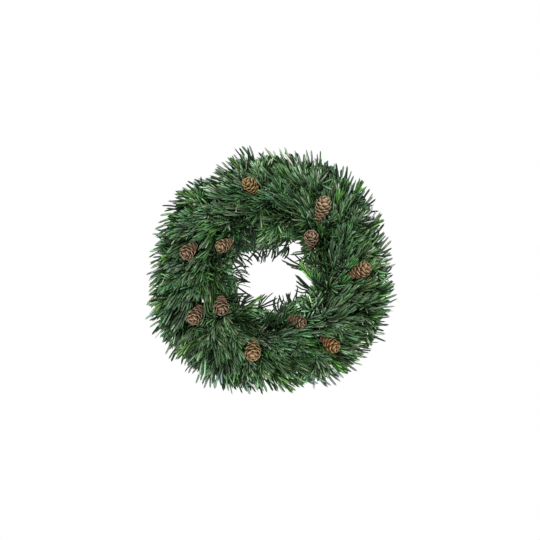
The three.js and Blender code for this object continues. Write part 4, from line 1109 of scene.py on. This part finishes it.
# ---------------------------------------------------------------- ring, binding and loop
mesh = Mesh()
for u in (RAIL_OFFSET, -RAIL_OFFSET):
    a = np.arange(168) / 168 * 2 * np.pi
    tube(mesh, ring_point(a, u, RAIL_V), RAIL_R, 12, 0, (1, 1, 1), closed=True)
for i in range(BRACES):
    a = (i + 0.5) / BRACES * 2 * math.pi
    u = np.array([-17.0, -16.2, -15.2, -14.0, -8.0, 0.0, 8.0, 14.0, 15.2, 16.2, 17.0])
    r = np.array([2.3, 2.35, 2.0, 1.52, 1.5, 1.5, 1.5, 1.52, 2.0, 2.35, 2.3])
    tube(mesh, ring_point(np.full(len(u), a), u, RAIL_V), r, 10, 0, (1, 1, 1))
mesh.build("ring_frame_wire", [FRAME], "ring_frame", ["ring_frame"])

pitch = 2 * math.pi / TURNS
start = -math.pi / 2 + 0.25 * pitch
k = np.arange(0, (BIND_STEPS * TURNS - 5) * 3 + 1) / 3
phi = k / BIND_STEPS * 2 * np.pi + np.pi / 2
rho = binding_rho(phi)
mesh = Mesh()
tube(mesh, ring_point(start + k / BIND_STEPS * pitch, rho * np.cos(phi), rho * np.sin(phi)), BIND_R, 7, 0, (1, 1, 1))
mesh.build("binding_wire_wound", [BINDING], "binding_wire", ["binding_wire"])

mesh = Mesh()
tube(mesh, smooth_line(LOOP, 130), LOOP_WIRE_R, 12, 0, (1, 1, 1))
mesh.build("hanging_loop_wire", [ZINC], "hanging_loop", ["hanging_loop"])

for name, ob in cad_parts.items():
    if name.startswith("cone_wire"):
        ob.data.materials.clear()
        ob.data.materials.append(BROWN)

# ---------------------------------------------------------------- stage, light and camera
centre = -HANG / 1000.0


def plane(name, size, location, color):
    me = bpy.data.meshes.new(name)
    x, y = size[0] / 2, size[1] / 2
    me.from_pydata([(-x, -y, 0), (x, -y, 0), (x, y, 0), (-x, y, 0)], [], [(0, 1, 2, 3)])
    ob = bpy.data.objects.new(name, me)
    ob.location = location
    bpy.context.scene.collection.objects.link(ob)
    m, nodes, links, bsdf = material(name)
    links.new(ramp(nodes, links, noise(nodes, links, 6.0), [(0.3, color * 0.985), (0.7, color)]), bsdf.inputs["Base Color"])
    bsdf.inputs["Roughness"].default_value = 0.9
    me.materials.append(m)
    return ob


plane("floor", (5.0, 4.4), (0.0, -1.2, centre[2] - 0.95), np.array([0.86, 0.86, 0.86]))

world = bpy.data.worlds.new("studio")
bpy.context.scene.world = world
world.use_nodes = True
wn, wl = world.node_tree.nodes, world.node_tree.links
wn.clear()
out = wn.new("ShaderNodeOutputWorld")
seen_bg = wn.new("ShaderNodeBackground")
seen_bg.inputs["Color"].default_value = (1, 1, 1, 1)
seen_bg.inputs["Strength"].default_value = 1.0
light_bg = wn.new("ShaderNodeBackground")
light_bg.inputs["Color"].default_value = (0.97, 0.985, 1.0, 1)
light_bg.inputs["Strength"].default_value = 0.465
path = wn.new("ShaderNodeLightPath")
mix = wn.new("ShaderNodeMixShader")
wl.new(path.outputs["Is Camera Ray"], mix.inputs["Fac"])
wl.new(light_bg.outputs["Background"], mix.inputs[1])
wl.new(seen_bg.outputs["Background"], mix.inputs[2])
wl.new(mix.outputs["Shader"], out.inputs["Surface"])


def area(name, location, size, power, color=(1, 1, 1)):
    d = bpy.data.lights.new(name, "AREA")
    d.shape = "SQUARE"
    d.size = size
    d.energy = power
    d.color = color
    ob = bpy.data.objects.new(name, d)
    ob.location = Vector(centre) + Vector(location)
    ob.rotation_euler = (Vector(centre) - ob.location).to_track_quat("-Z", "Y").to_euler()
    bpy.context.scene.collection.objects.link(ob)
    return ob


area("key", (-0.36, -1.98, 0.82), 0.8, 65.5, (1.0, 0.985, 0.96))
area("fill", (0.3, -2.0, -0.6), 1.4, 25.0)
area("right", (2.0, -0.9, 0.15), 1.2, 20.0)
area("left", (-2.0, -0.9, 0.1), 1.2, 9.0)
area("rim", (0.6, 1.5, 1.2), 1.2, 12.0)
area("back", (-0.7, 1.7, 0.1), 1.4, 12.0)

scene = bpy.context.scene
scene.view_settings.view_transform = "Standard"
scene.view_settings.look = "None"

cam_data = bpy.data.cameras.new("camera")
cam_data.lens = 85.0
cam_data.sensor_width = 36.0
cam = bpy.data.objects.new("camera", cam_data)
wide = 540 * 1.772 / 1000.0
cam.location = (centre[0], centre[1] - wide * 85.0 / 36.0, centre[2])
cam.rotation_euler = (math.radians(90), 0.0, 0.0)
cam_data.clip_start, cam_data.clip_end = 0.05, 50.0
bpy.context.scene.collection.objects.link(cam)
bpy.context.scene.camera = cam

print("triangles", totals)
